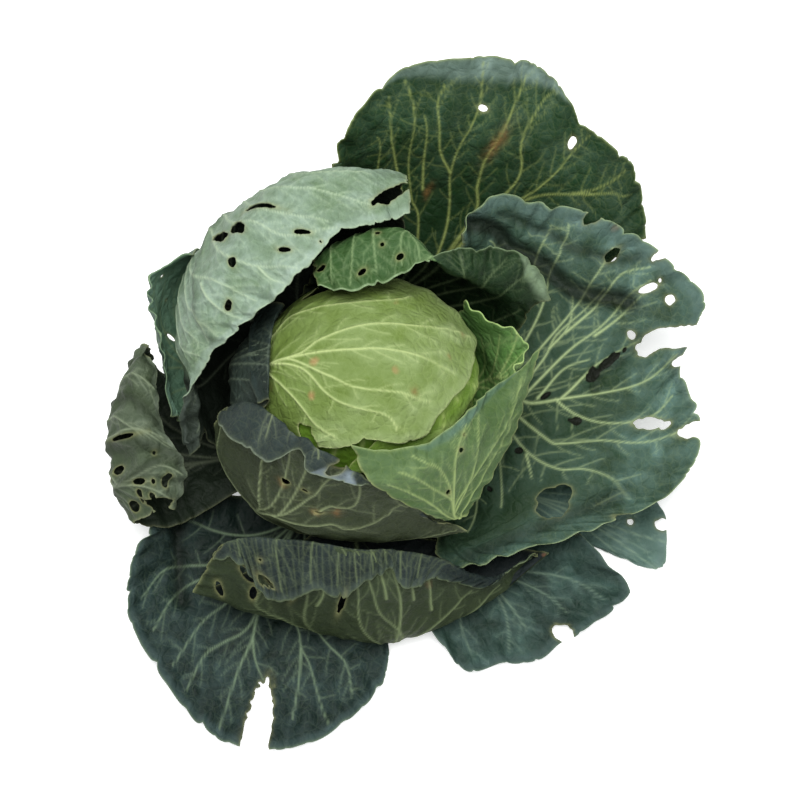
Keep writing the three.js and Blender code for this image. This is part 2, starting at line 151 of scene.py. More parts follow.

# Every leaf. Its rings run across it from the stump outward, as places (heading in degrees, distance from
# the stump's axis and height in millimetres). seat is where it sits on the stump (heading, height), and
# over, for a leaf that lies on the heart, is its least height above it. veins holds the main veins as
# places in hundredths (across, outward), thickest at the start. bites, shaded_pits and stains are ovals
# (place across, place outward, half width and half length in millimetres, turn in degrees), and creases
# are lines of places (depth, half width, line). A pit is a shallow dent coloured dark as painted shade,
# standing for a hole, and a crease is coloured darker along its line as painted shade. rim is how deep the
# margin is notched, ruffle the height and frill the length of the waves along it, puff how far the blade
# swells between its veins, and flare how far the margin stands off the heart, all in millimetres.
# bloom_and_light_band is a pale band along the margin (depth, middle and half width across): bloom, and on
# the back leaf also painted light on its curled-back top. fringe is a row of short veins up to the margin
# (first and last place across, how many, place outward of their start). Past the places across in dim the
# underside takes the tones of the upper face and its painted shade. coarse is a factor on the grid's step,
# and a broad leaf is made as two objects.
LEAVES = {
    "heart_leaf": dict(
        over=3.2,
        rings=[
            [[160, 75, 90], [190, 73, 90], [220, 72, 90]],
            [[150, 78, 135], [190, 75, 135], [232, 75, 135]],
            [[120, 50, 180], [190, 40, 182], [255, 48, 177]],
            [[65, 45, 186], [10, 40, 189], [300, 45, 182]],
            [[62, 83, 148], [30, 88, 135], [10, 87, 140], [350, 81, 150], [330, 75, 158], [308, 69, 162],
             [280, 70, 156], [258, 71, 150]],
        ],
        rim=1.5, ruffle=0.3, frill=30, puff=0.3, coarse=1.4, flare=2,
    ),
    "cap_leaf": dict(
        over=7.2,
        rings=[
            [[145, 77, 85], [178, 75, 85], [212, 73, 85]],
            [[112, 85, 138], [145, 81, 138], [178, 78, 138], [212, 77, 138], [245, 78, 138]],
            [[124, 73, 160], [148, 64, 167], [169, 61, 169], [195, 57, 171], [223, 59, 169]],
            [[80, 70, 168], [49, 50, 187], [7, 30, 195], [300, 36, 191], [238, 60, 171]],
            [[105, 74, 161], [75, 79, 160], [51, 84, 156], [38, 88, 148], [25, 90, 142], [12, 84, 155],
             [353, 74, 167], [333, 65, 174], [310, 66, 170], [298, 61, 173], [278, 54, 178], [259, 58, 172],
             [240, 63, 166]],
        ],
        veins=[
            [(50, 0), (52, 30), (55, 52)], [(55, 48), (54, 57), (45, 61), (35, 68), (34, 81), (36, 96)],
            [(55, 50), (55, 57), (52, 66), (50, 70), (49, 80), (49, 94)],
            [(55, 48), (56, 55), (67, 62), (71, 70), (60, 93)], [(56, 50), (62, 57), (80, 66), (76, 93)],
            [(56, 45), (68, 50), (93, 62), (94, 87)],
            [(52, 40), (30, 46), (19, 51), (19, 58), (20, 65), (15, 81)],
        ],
        stains=[(0.36, 0.93, 2.5, 2.5, 0), (0.45, 0.9, 2, 2, 0), (0.63, 0.83, 3, 3, 0)],
        rim=3.6, ruffle=0.6, frill=26, puff=0.6, flare=3,
    ),
    "right_inner_leaf": dict(
        seat=(15, 38),
        rings=[
            [[352, 60, 47], [15, 62, 47], [36, 60, 47]],
            [[347, 95, 82], [15, 98, 82], [42, 95, 82]],
            [[346, 102, 110], [10, 108, 114], [42, 102, 118]],
            [[345, 98, 132], [358, 108, 136], [8, 117, 140], [13, 128, 146], [19, 120, 156],
             [25, 107, 162], [38, 98, 162]],
        ],
        rim=3.5, ruffle=1.4, frill=14, puff=0.8,
    ),
    "left_inner_leaf": dict(
        seat=(170, 38),
        rings=[
            [[158, 60, 47], [170, 62, 47], [184, 60, 47]],
            [[140, 92, 82], [170, 94, 82], [202, 90, 82]],
            [[134, 97, 122], [165, 98, 124], [200, 93, 128]],
            [[135, 81, 160], [150, 73, 170], [168, 67, 175], [185, 66, 175], [198, 70, 167]],
            [[138, 94, 150], [150, 92, 146], [165, 86, 150], [183, 79, 158], [197, 76, 163]],
        ],
        rim=0.8, ruffle=0.6, frill=20, puff=0.6, coarse=1.2,
    ),
    "front_wrap_leaf": dict(
        seat=(222, 34),
        rings=[
            [[211, 60, 41], [222, 62, 40], [233, 60, 41]],
            [[200, 104, 76], [222, 106, 72], [244, 104, 76]],
            [[190, 112, 112], [205, 112, 112], [228, 108, 112], [250, 107, 108], [275, 106, 98],
             [296, 110, 88], [308, 124, 88]],
            [[189, 100, 138], [196, 84, 162], [211, 72, 178], [232, 71, 179], [252, 71, 180],
             [268, 78, 172], [285, 88, 150], [297, 101, 116]],
            [[192, 106, 130], [203, 105, 149], [214, 97, 157], [226, 92, 163], [236, 75, 179],
             [243, 84, 173], [254, 84, 172], [268, 86, 170], [285, 85, 158], [295, 97, 130]],
        ],
        bites=[
            (0.465, 0.695, 2.7, 1.5, 0), (0.512, 0.662, 3.4, 1.2, 0), (0.393, 0.688, 3.4, 2.6, 0),
            (0.62, 0.79, 6, 4, 0),
        ],
        veins=[
            [(50, 0), (45, 25), (38, 50), (39, 59), (51, 71), (76, 84)],
            [(39, 58), (41, 64), (46, 73), (57, 91)],
            [(38, 52), (39, 58), (54, 64), (60, 64), (77, 71), (95, 80)],
            [(50, 66), (54, 68), (64, 71), (82, 91)], [(38, 50), (36, 53), (30, 67), (28, 80), (28, 93)],
            [(38, 50), (35, 56), (39, 70), (40, 84)], [(38, 48), (33, 51), (14, 57), (5, 75)],
            [(40, 42), (20, 45), (5, 55)], [(42, 40), (60, 50), (80, 58), (96, 66)],
            [(44, 30), (70, 40), (95, 50)],
        ],
        stains=[(0.5, 0.66, 3, 3, 0), (0.56, 0.67, 4, 4, 0), (0.38, 0.68, 4, 3, 0)],
        rim=2.4, ruffle=0.9, frill=17, puff=0.9, bloom_and_light_band=(12, 0.68, 0.1),
    ),
    "right_wrap_leaf": dict(
        seat=(313, 34),
        rings=[
            [[304, 60, 41], [313, 62, 40], [322, 60, 41]],
            [[309, 106, 78], [317, 108, 76], [327, 106, 78]],
            [[298, 109, 130], [306, 113, 120], [317, 117, 112]],
            [[276, 88, 174], [296, 91, 173], [315, 94, 167], [332, 101, 156], [343, 119, 126]],
            [[263, 62, 188], [280, 65, 185], [300, 70, 182], [320, 76, 177], [338, 83, 169],
             [354, 94, 154], [2, 106, 147], [8, 124, 143], [13, 139, 141]],
        ],
        bites=[(0.547, 0.825, 3, 1.9, 0), (0.47, 0.7, 1.9, 2.7, 0), (0.532, 0.89, 1.3, 1, 0)],
        veins=[
            [(50, 0), (52, 40), (54, 63), (51, 81), (52, 94)], [(54, 58), (52, 66), (35, 73), (18, 86)],
            [(54, 60), (50, 69), (43, 77), (25, 94)], [(54, 57), (57, 64), (78, 72), (89, 84), (88, 96)],
            [(53, 50), (80, 64), (89, 74), (93, 86)], [(55, 60), (70, 68), (72, 76), (61, 92)],
            [(53, 52), (30, 65), (8, 80)],
        ],
        rim=2.6, ruffle=1.0, frill=15, puff=0.8, bloom_and_light_band=(14, 0.55, 0.3),
    ),
    "back_curl_leaf": dict(
        seat=(80, 34),
        rings=[
            [[50, 62, 40], [80, 62, 40], [108, 62, 40]],
            [[24, 104, 66], [75, 102, 64], [120, 100, 67]],
            [[24, 130, 112], [45, 122, 118], [75, 118, 125], [108, 112, 128]],
            [[24, 142, 148], [30, 128, 168], [38, 108, 182], [49, 95, 193], [74, 104, 200],
             [100, 92, 194], [115, 86, 187]],
            [[23, 156, 165], [33, 150, 185], [41, 132, 198], [52, 103, 204], [57, 85, 203], [65, 67, 202],
             [98, 50, 203], [119, 66, 197]],
        ],
        bites=[
            (0.95, 0.88, 3.5, 3.5, 0), (0.802, 0.945, 3.8, 1.9, 20), (0.69, 0.935, 3, 2.2, 30),
            (0.728, 0.883, 1.9, 1.7, 0), (0.728, 0.833, 1.9, 1.9, 0),
        ],
        veins=[
            [(50, 0), (50, 50), (55, 85), (56, 98)], [(50, 30), (70, 60), (74, 84), (77, 97)],
            [(50, 25), (72, 55), (79, 84), (85, 98)], [(50, 20), (78, 50), (87, 84), (92, 97)],
            [(50, 35), (60, 60), (64, 80), (61, 90), (60, 98)], [(50, 40), (58, 70), (66, 85), (69, 97)],
            [(50, 35), (42, 60), (40, 85), (39, 97)], [(50, 30), (35, 60), (28, 85), (24, 96)],
            [(50, 25), (28, 55), (17, 85), (12, 96)], [(50, 20), (20, 45), (6, 75)],
        ],
        rim=3.6, ruffle=1.8, frill=16, puff=1.0, bloom_and_light_band=(13, 0.08, 0.13),
    ),
    "left_curl_leaf": dict(
        seat=(130, 27),
        rings=[
            [[86, 90, 36], [120, 95, 34], [160, 88, 34]],
            [[76, 140, 85], [105, 150, 80], [135, 148, 76], [166, 124, 68], [190, 112, 54]],
            [[78, 158, 150], [94, 163, 150], [108, 170, 145], [124, 172, 135], [140, 168, 122],
             [156, 152, 108], [170, 136, 104], [188, 122, 84]],
            [[76, 148, 196], [95, 146, 206], [115, 142, 206], [135, 132, 196], [155, 134, 165],
             [168, 134, 138], [180, 122, 118], [194, 124, 92]],
            [[71, 118, 205], [82, 102, 210], [100, 93, 211], [123, 74, 209], [144, 76, 198],
             [163, 96, 175], [176, 121, 142], [184, 136, 104], [195, 133, 82]],
        ],
        bites=[
            (0.455, 0.735, 5, 12, 26), (0.405, 0.785, 5, 10, 26), (0.05, 0.905, 5, 18, -68),
            (0.34, 0.8, 15, 2.2, 132),
            (0.31, 0.94, 6, 2.2, 133), (0.55, 0.91, 4.5, 3.5, 0), (0.46, 0.85, 3.7, 3.7, 0),
            (0.367, 0.932, 4.6, 1.9, 133), (0.295, 0.985, 1.3, 1.1, 0), (0.198, 0.773, 1.6, 1.3, 0),
        ],
        veins=[
            [(50, 0), (52, 40), (56, 66), (51, 83), (52, 97)],
            [(50, 20), (35, 50), (24, 76), (17, 82), (9, 84)],
            [(50, 25), (38, 55), (33, 72), (26, 83), (18, 91), (13, 95)],
            [(50, 30), (41, 60), (33, 84), (25, 96)], [(50, 35), (43, 70), (37, 83), (34, 92), (24, 99)],
            [(51, 40), (47, 72), (45, 88), (43, 93), (38, 99)], [(44, 92), (45, 96), (44, 99)],
            [(53, 80), (57, 92), (58, 98)], [(52, 40), (59, 75), (59, 83), (64, 96)], [(60, 86), (66, 94)],
            [(52, 35), (60, 60), (64, 73), (65, 85), (68, 92)],
            [(51, 30), (62, 55), (70, 76), (70, 87), (70, 94)], [(50, 25), (70, 50), (80, 75), (83, 95)],
            [(50, 20), (75, 40), (90, 65), (95, 85)], [(50, 15), (30, 35), (12, 60), (3, 75)],
        ],
        creases=[(3, 4, [(0.4, 0.55), (0.5, 0.7), (0.6, 0.86), (0.66, 0.97)])],
        rim=2.6, ruffle=1.8, frill=22, puff=1.1, dim=(0.83, 0.88),
    ),
    "right_leaf": dict(
        seat=(5, 21),
        rings=[
            [[318, 78, 23], [5, 84, 28], [52, 82, 32]],
            [[302, 112, 34], [330, 122, 38], [8, 128, 58], [40, 142, 74], [64, 140, 86]],
            [[298, 124, 42], [318, 138, 38], [336, 165, 38], [350, 205, 46], [3, 212, 56], [15, 218, 66],
             [27, 220, 80], [38, 205, 92], [50, 185, 100], [60, 150, 106]],
            [[297, 136, 48], [316, 153, 42], [332, 188, 42], [345, 237, 42], [354, 262, 48], [2, 265, 55],
             [10, 254, 62], [16, 277, 68], [21, 287, 76], [29, 270, 90], [37, 250, 102], [46, 225, 112],
             [58, 194, 128], [61, 152, 124]],
        ],
        bites=[
            (0.73, 0.86, 8.3, 3.8, 79), (0.65, 0.86, 8.5, 3, 89), (0.62, 0.9, 4, 4, 0),
            (0.535, 0.94, 9, 34, 23), (0.55, 0.8, 6, 9, 0), (0.41, 0.81, 12, 4.5, 111),
            (0.36, 0.99, 6, 17, 10), (0.235, 0.73, 7, 7, 0), (0.475, 1.0, 4, 8, 0), (0.2, 1.0, 4, 9, 0),
            (0.8, 1.0, 5, 10, 0), (0.69, 1.0, 4, 10, 0), (0.263, 0.672, 10, 13, 20), (0.29, 0.66, 6, 8, 0),
            (0.235, 0.7, 6, 8, 30), (0.395, 0.865, 5, 2.6, 90), (0.655, 0.91, 1.5, 1.2, 0),
            (0.583, 0.765, 4.2, 3.4, 0),
        ],
        veins=[
            [(50, 0), (50, 20), (51, 45), (49, 53), (49, 60), (49, 67), (49, 82), (50, 95)],
            [(51, 50), (58, 61), (61, 69), (65, 80), (66, 90)],
            [(51, 46), (58, 56), (62, 60), (65, 67), (68, 75)], [(50, 54), (55, 60), (56, 66)],
            [(49, 59), (54, 66), (56, 72), (57, 79)],
            [(49, 58), (47, 60), (45, 63), (43, 69), (42, 82), (43, 93)],
            [(51, 43), (48, 47), (41, 57), (40, 60), (40, 68), (38, 81), (37, 95)],
            [(50, 38), (44, 46), (38, 54), (35, 61), (34, 69), (25, 90)],
            [(49, 32), (42, 40), (39, 43), (35, 46), (25, 52)], [(38, 53), (33, 56)],
            [(52, 42), (60, 55), (68, 69), (71, 75), (74, 89)], [(62, 62), (65, 70), (69, 81), (68, 93)],
            [(60, 68), (62, 75), (65, 86)], [(52, 38), (65, 55), (77, 69), (82, 90)],
            [(52, 33), (68, 52), (81, 69), (84, 86)], [(60, 58), (63, 63), (69, 67)],
            [(51, 28), (75, 45), (92, 70)], [(49, 25), (30, 36), (12, 50)], [(49, 20), (20, 28), (3, 38)],
        ],
        creases=[
            (8, 8, [(0.97, 0.9), (0.88, 0.69), (0.79, 0.68), (0.7, 0.68), (0.64, 0.79)]),
            (3.5, 5, [(0.92, 0.87), (0.81, 0.8), (0.74, 0.83), (0.7, 0.92)]),
            (3, 4, [(0.5, 0.66), (0.53, 0.68), (0.54, 0.72), (0.57, 0.79)]),
            (3.5, 7, [(0.06, 0.8), (0.12, 0.8), (0.17, 0.8), (0.27, 0.85)]),
        ],
        # painted shade: these dents are coloured dark, standing for holes with shade behind them
        shaded_pits=[
            (0.53, 0.662, 5, 7, -26), (0.548, 0.7, 3.2, 15, -26), (0.503, 0.56, 2, 5, -20),
            (0.44, 0.623, 3.4, 5, 20), (0.388, 0.507, 2.6, 3, 0), (0.285, 0.45, 1.8, 2.2, 0),
        ],
        rim=5.5, ruffle=2.4, frill=26, puff=1.2, bloom_and_light_band=(14, 0.75, 0.4), broad=True,
    ),
    "front_cup_leaf": dict(
        seat=(268, 17),
        rings=[
            [[246, 80, 15], [268, 85, 14], [292, 80, 15]],
            [[227, 177, 38], [236, 167, 28], [250, 157, 20], [269, 162, 16], [288, 162, 17],
             [303, 160, 19], [313, 162, 21], [326, 168, 24]],
            [[226, 172, 62], [245, 146, 62], [262, 140, 66], [280, 142, 62], [296, 150, 42],
             [310, 161, 29], [325, 168, 27]],
            [[225, 152, 82], [228, 138, 90], [235, 126, 95], [247, 115, 97], [259, 111, 97],
             [270, 112, 95], [281, 114, 93], [290, 119, 86], [299, 130, 70], [305, 146, 47],
             [312, 160, 35], [324, 168, 30]],
            [[226, 158, 76], [235, 151, 79], [244, 159, 72], [250, 154, 70], [256, 144, 75],
             [264, 146, 72], [270, 136, 78], [279, 129, 84], [283, 140, 78], [287, 143, 74],
             [293, 141, 70], [300, 147, 54], [308, 159, 38], [325, 171, 31]],
        ],
        bites=[
            (0.095, 0.64, 8.8, 3, 118), (0.15, 0.64, 11, 3.6, 118), (0.12, 0.56, 7, 2.8, 118),
            (0.055, 0.53, 7, 2.6, 140), (0.36, 0.57, 2.2, 12, 0), (0.225, 0.557, 0.9, 3, 0),
            (0.163, 0.895, 1.6, 1.5, 0),
        ],
        veins=[
            [(50, 0), (50, 25), (50, 43), (52, 60), (53, 80), (54, 97)],
            [(50, 35), (47, 43), (41, 54), (40, 70), (38, 97)],
            [(50, 30), (34, 43), (25, 60), (22, 80), (21, 97)],
            [(50, 38), (51, 48), (45, 58), (44, 80), (45, 97)],
            [(50, 28), (28, 45), (21, 48), (14, 54), (10, 80), (8, 96)],
            [(50, 36), (58, 47), (68, 55), (76, 64)], [(50, 30), (65, 42), (85, 60)],
            [(30, 55), (31, 80), (30, 97)], [(48, 60), (49, 80), (50, 97)], [(56, 60), (59, 80), (60, 97)],
            [(60, 55), (65, 75), (68, 95)],
        ],
        rim=6.0, ruffle=1.7, frill=13, puff=0.9, coarse=1.06, fringe=(0.06, 0.74, 40, 0.78),
    ),
    "left_stand_leaf": dict(
        seat=(152, 22),
        rings=[
            [[138, 88, 26], [155, 90, 25], [175, 85, 25]],
            [[135, 165, 72], [152, 165, 66], [168, 148, 55], [182, 132, 46]],
            [[135, 179, 110], [150, 180, 105], [163, 158, 88], [180, 144, 68]],
            [[139, 167, 139], [143, 176, 140], [149, 183, 135], [155, 176, 122], [162, 160, 104],
             [171, 152, 88], [181, 147, 78]],
        ],
        bites=[(0.258, 0.807, 1.9, 1.9, 0), (0.28, 0.618, 1, 1, 0), (0.4, 0.505, 1.4, 5, 0)],
        rim=3.5, ruffle=1.6, frill=18, puff=1.0,
    ),
    "left_eaten_leaf": dict(
        seat=(190, 18),
        rings=[
            [[170, 90, 20], [187, 88, 18], [204, 88, 16]],
            [[164, 168, 46], [187, 165, 38], [208, 160, 30]],
            [[163, 174, 90], [172, 180, 88], [179, 188, 82], [187, 192, 76], [195, 195, 66],
             [205, 193, 52]],
            [[164, 170, 112], [172, 172, 116], [180, 172, 112], [188, 170, 106], [198, 166, 96],
             [207, 176, 76]],
            [[166, 158, 108], [177, 152, 104], [187, 148, 96], [194, 142, 88], [201, 138, 80],
             [207, 156, 62]],
        ],
        bites=[
            (0.62, 0.73, 1.8, 12, 0), (0.77, 0.67, 3, 6, 0), (0.84, 0.75, 2.4, 5, 0),
            (0.85, 0.89, 5.5, 4, 0), (0.96, 0.86, 6, 11, 0), (0.94, 0.69, 5, 4, 0),
            (0.853, 0.812, 2.2, 1.6, 0), (0.893, 0.74, 3, 2.4, 0), (0.915, 0.8, 2.6, 2.4, 0),
            (0.78, 0.6, 2, 1.5, 0), (0.7, 0.86, 1.6, 1.4, 0),
        ],
        veins=[
            [(50, 0), (58, 35), (70, 50), (82, 63), (85, 73), (95, 96)],
            [(56, 30), (52, 50), (49, 68), (58, 80), (53, 95)], [(58, 40), (60, 60), (58, 84), (61, 98)],
            [(65, 45), (75, 60), (83, 69), (77, 87), (80, 97)], [(54, 25), (35, 50), (25, 75), (22, 95)],
            [(52, 20), (20, 42), (6, 70)], [(56, 30), (80, 45), (97, 60)],
        ],
        creases=[
            (3.2, 5, [(0.62, 0.5), (0.65, 0.75), (0.68, 0.97)]),
            (3, 5, [(0.4, 0.5), (0.38, 0.75), (0.4, 0.97)]),
            (3, 4, [(0.9, 0.55), (0.8, 0.75), (0.7, 0.93)]),
            (2.6, 4, [(0.2, 0.5), (0.13, 0.75), (0.1, 0.95)]),
        ],
        rim=3.8, ruffle=1.8, frill=18, puff=2.2,
    ),
    "back_leaf": dict(
        seat=(68, 12),
        rings=[
            [[46, 95, 20], [68, 100, 23], [92, 98, 24]],
            [[34, 180, 40], [50, 190, 58], [68, 182, 76], [84, 174, 86], [98, 166, 78]],
            [[34, 232, 58], [42, 250, 85], [54, 248, 122], [68, 226, 146], [82, 210, 150],
             [97, 188, 126]],
            [[34, 273, 73], [38, 285, 95], [43, 288, 120], [50, 279, 140], [59, 286, 165], [65, 281, 178],
             [73, 262, 185], [83, 243, 182], [93, 206, 168], [97, 186, 130]],
        ],
        bites=[(0.59, 0.82, 3.8, 2.4, 0), (0.36, 0.85, 3.2, 5.5, 0)],
        veins=[
            [(50, 0), (46, 30), (42, 51), (48, 60), (52, 69), (52, 85), (51, 96)],
            [(49, 20), (47, 45), (57, 61), (60, 71), (60, 82), (62, 98)],
            [(57, 61), (65, 68), (70, 81), (69, 90)], [(50, 15), (58, 45), (65, 53), (74, 68), (77, 94)],
            [(45, 30), (40, 61), (47, 75), (46, 88), (42, 98)],
            [(44, 35), (36, 60), (35, 70), (35, 81), (33, 97)],
            [(42, 40), (34, 63), (28, 72), (23, 86), (21, 96)], [(28, 72), (22, 82), (15, 94)],
            [(52, 15), (70, 45), (81, 59), (86, 76)], [(66, 50), (78, 65), (82, 76), (81, 93)],
            [(62, 55), (68, 65), (73, 78)], [(42, 30), (25, 50), (10, 75)], [(44, 20), (20, 38), (5, 60)],
        ],
        stains=[(0.52, 0.72, 5, 15, 0), (0.6, 0.55, 2.5, 8, 0)],
        # painted light: the pale band along its curled-back top stands for light falling there, as well as
        # bloom
        rim=4.5, ruffle=2.0, frill=26, puff=1.1, bloom_and_light_band=(18, 0.6, 0.22), coarse=1.15,
    ),
    "front_right_leaf": dict(
        seat=(312, 11),
        rings=[
            [[297, 85, 8], [312, 88, 8], [328, 85, 9]],
            [[289, 128, 9], [305, 150, 7], [320, 165, 6], [336, 150, 13]],
            [[288, 159, 13], [293, 200, 5], [301, 208, 2], [309, 224, 2], [321, 234, 4], [330, 244, 9],
             [333, 214, 20], [336, 188, 23]],
        ],
        bites=[(0.51, 0.96, 6, 9, 0)],
        veins=[
            [(50, 0), (50, 45), (47, 75), (45, 88)], [(50, 35), (65, 60), (72, 78), (66, 95)],
            [(50, 45), (60, 66), (61, 76), (57, 90)], [(50, 40), (45, 72), (35, 94)],
            [(50, 30), (33, 55), (21, 79), (21, 95)], [(50, 25), (20, 45), (6, 70)],
            [(50, 25), (80, 50), (93, 75)],
        ],
        rim=5.0, ruffle=1.8, frill=22, puff=1.6,
    ),
    "right_low_leaf": dict(
        seat=(340, 6),
        rings=[
            [[328, 85, 3.5], [340, 88, 3.5], [352, 85, 4]],
            [[333, 150, 4], [342, 165, 5], [352, 160, 7]],
            [[335.5, 196, 4], [335.5, 226, 3], [336.5, 259, 2], [341, 257, 3], [347, 247, 9],
             [354, 225, 16]],
        ],
        bites=[(0.71, 0.98, 5, 6, 0), (0.655, 0.885, 2.7, 2.7, 0)],
        rim=4.5, ruffle=1.4, frill=20, puff=1.3,
    ),
    "front_left_leaf": dict(
        seat=(232, 7),
        rings=[
            [[208, 88, 7], [232, 90, 6], [257, 88, 5]],
            [[200, 135, 18], [215, 165, 12], [235, 180, 5], [258, 170, 4], [277, 130, 5]],
            [[204, 178, 36], [210, 205, 30], [219, 230, 19], [234, 247, 8], [246, 260, 3], [259, 247, 2],
             [273, 207, 3], [279, 163, 6]],
        ],
        bites=[(0.635, 1, 11, 54, 0)],
        veins=[
            [(50, 0), (53, 30), (57, 59), (58, 67), (57, 78), (56, 97)],
            [(52, 30), (49, 50), (46, 62), (43, 72), (41, 93)], [(55, 50), (56, 64), (48, 78), (46, 95)],
            [(58, 66), (60, 72), (63, 78)], [(54, 35), (66, 55), (70, 61), (71, 66), (74, 74), (77, 97)],
            [(71, 66), (71, 75), (70, 90)], [(64, 40), (76, 60), (83, 76), (82, 93)],
            [(51, 25), (30, 45), (15, 60), (7, 75)], [(50, 30), (35, 55), (25, 75), (27, 92)],
            [(53, 20), (75, 40), (93, 60)], [(42, 45), (33, 70), (34, 92)],
        ],
        creases=[(5, 6, [(0.06, 0.76), (0.16, 0.72), (0.25, 0.7), (0.35, 0.75)])],
        rim=4.5, ruffle=1.6, frill=24, puff=1.3,
    ),
}


def fade(value, low, high):
    """0 below low and 1 above high, with 3 t squared less 2 t cubed between."""
    t = np.clip((value - low) / (high - low), 0, 1)
    return t * t * (3 - 2 * t)


def smooth_through(points, place):
    """What a smooth line through points is summed from: the points with one more at each end, and for
    each place from 0 to 1 the first of its four points and their weights. Each stretch is the cubic whose
    slope at a point is half the step from the point before to the point after."""
    points = np.asarray(points, float)
    first = 2 * points[:1] - points[1:2]
    last = 2 * points[-1:] - points[-2:-1]
    points = np.concatenate([first, points, last])
    along = np.asarray(place, float) * (len(points) - 3)
    index = np.clip(np.floor(along).astype(int), 0, len(points) - 4)
    t = along - index
    weights = (
        (-t + 2 * t**2 - t**3) / 2,
        (2 - 5 * t**2 + 3 * t**3) / 2,
        (t + 4 * t**2 - 3 * t**3) / 2,
        (t**3 - t**2) / 2,
    )
    return points, index, weights


def line_at(points, place):
    """The points of the smooth line through a list of points, at an array of places."""
    points, index, weights = smooth_through(points, place)
    return sum(w[:, None] * points[index + k] for k, w in enumerate(weights))


def spots(ring):
    """Heading, distance and height as x, y and z in metres."""
    ring = np.asarray(ring, float)
    heading = np.radians(ring[:, 0])
    return np.stack([ring[:, 1] * np.cos(heading), ring[:, 1] * np.sin(heading), ring[:, 2]], -1) * MM


def foot_points(seat, a):
    """The foot's arc round the stump: its heading goes evenly from one side of the seat to the other."""
    heading = np.radians(seat[0] + SEAT_HALF_ANGLE * (2 * a - 1))
    reach = STUMP_RADIUS + SEAT_GAP
    return np.stack([reach * np.cos(heading), reach * np.sin(heading), np.full_like(a, seat[1] * MM)], -1)


def leaf_points(leaf, a, r):
    """A smooth line along each ring at place a, then a smooth line through these points at place r, for
    a of one and r of two dimensions. A leaf that lies on the heart is pushed straight out of it."""
    rows = [line_at(spots(ring), a) for ring in leaf["rings"]]
    if "seat" in leaf:
        rows.insert(0, foot_points(leaf["seat"], a))
    points, index, weights = smooth_through(rows, r)
    column = np.arange(len(a))[:, None]
    points = sum(w[..., None] * points[index + k, column] for k, w in enumerate(weights))
    if "over" in leaf:
        out = points - HEART_CENTRE
        share = np.linalg.norm(out / (HEART_RADII + leaf["over"] * MM), axis=-1, keepdims=True)
        points = np.where(share < 1, HEART_CENTRE + out / share, points)
    return points


def even_places(places, lengths, step):
    """Places at equal steps of the length that is run up between them."""
    run = np.concatenate([[0], np.cumsum(lengths)])
    count = max(int(math.ceil(run[-1] / step)), 8)
    return np.interp(np.linspace(0, run[-1], count + 1), run, places)


def random_heights(places, cell, seed):
    """Smooth random heights from -1 to 1 at places of one to three directions: random values on a
    lattice, each corner of a cell weighed by 3 t squared less 2 t cubed in every direction."""
    ways = places.shape[-1]
    table = np.random.default_rng(seed).uniform(-1, 1, (LATTICE,) * ways)
    low = np.floor(places / cell).astype(int)
    t = fade(places / cell - low, 0, 1)
    total = np.zeros(places.shape[:-1])
    for corner in itertools.product((0, 1), repeat=ways):
        weight = np.prod([t[..., k] if high else 1 - t[..., k] for k, high in enumerate(corner)], axis=0)
        total += weight * table[tuple((low[..., k] + high) % LATTICE for k, high in enumerate(corner))]
    return total


def wobble(run, length, seed):
    """Waves along a margin: a sine whose phase and height wander by random heights."""
    phase = 1.8 * random_heights(run[..., None], 2.2 * length, seed)
    height = 0.6 + 0.4 * random_heights(run[..., None], 1.5 * length, seed + 1)
    return height * np.sin(2 * math.pi * run / length + 2 * phase)


def notches(run, depth, seed):
    """How deep a margin is cut: rounded lobes with narrow notches where random heights cross zero."""
    lobes = (1 - np.abs(random_heights(run[..., None], LOBE, seed))) ** 5
    teeth = (1 - np.abs(random_heights(run[..., None], TOOTH, seed + 1))) ** 4
    return (depth * lobes + (0.25 * depth + 0.3) * teeth) * MM


def run_lengths(points, axis):
    """The length run up along one axis of the grid, from 0."""
    steps = np.linalg.norm(np.diff(points, axis=axis), axis=-1)
    start = np.zeros_like(np.take(steps, [0], axis=axis))
    return np.concatenate([start, np.cumsum(steps, axis=axis)], axis=axis)


def leaf_grid(leaf, seed):
    """The sheet on a grid of nearly square cells, its margin notched by random heights, with its upward
    direction, its lengths run across and outward, and the distance of each place from the margin."""
    even = np.linspace(0, 1, TRIAL)
    trial = leaf_points(leaf, even, np.tile(even, (TRIAL, 1)))
    out_steps = np.linalg.norm(np.diff(trial, axis=1), axis=2)
    across_steps = np.linalg.norm(np.diff(trial, axis=0), axis=2)
    foot_share = FOOT_STEP_SHARE if "seat" in leaf else 1
    weight = foot_share + (1 - foot_share) * fade(even[1:], 0.25, 0.5)
    outward = out_steps.mean(0) * weight
    across = across_steps[:, TRIAL // 3:].mean(1)
    most = MOST_CELLS * (2 if leaf.get("broad") else 1)
    step = max(STEP * leaf.get("coarse", 1), math.sqrt(outward.sum() * across.sum() / most))
    a = even_places(even, across, step)
    r = even_places(even, outward, step)
    edge_run = np.interp(a, even, np.concatenate([[0], np.cumsum(across)]))
    pace = np.interp(a, even, out_steps[:, -12:].sum(1) * (TRIAL - 1) / 12)
    cut = notches(edge_run, leaf["rim"], seed + 11) / np.maximum(pace, 0.02)
    places = r[None, :] - cut[:, None] * fade(r, 0.55, 1)[None, :]
    points = leaf_points(leaf, a, places)
    up = np.cross(np.gradient(points, axis=1), np.gradient(points, axis=0))
    up /= np.linalg.norm(up, axis=-1, keepdims=True)
    out_run = run_lengths(points, 1)
    across_run = run_lengths(points, 0)
    tip = out_run[:, -1:] - out_run
    sides = np.minimum(across_run, across_run[-1:] - across_run)
    return dict(
        a=a, r=r, points=points, up=up, out_run=out_run, across_run=across_run, tip=tip,
        edge=np.minimum(tip, sides), reach=out_run.mean(0), width=across_run[-1],
    )


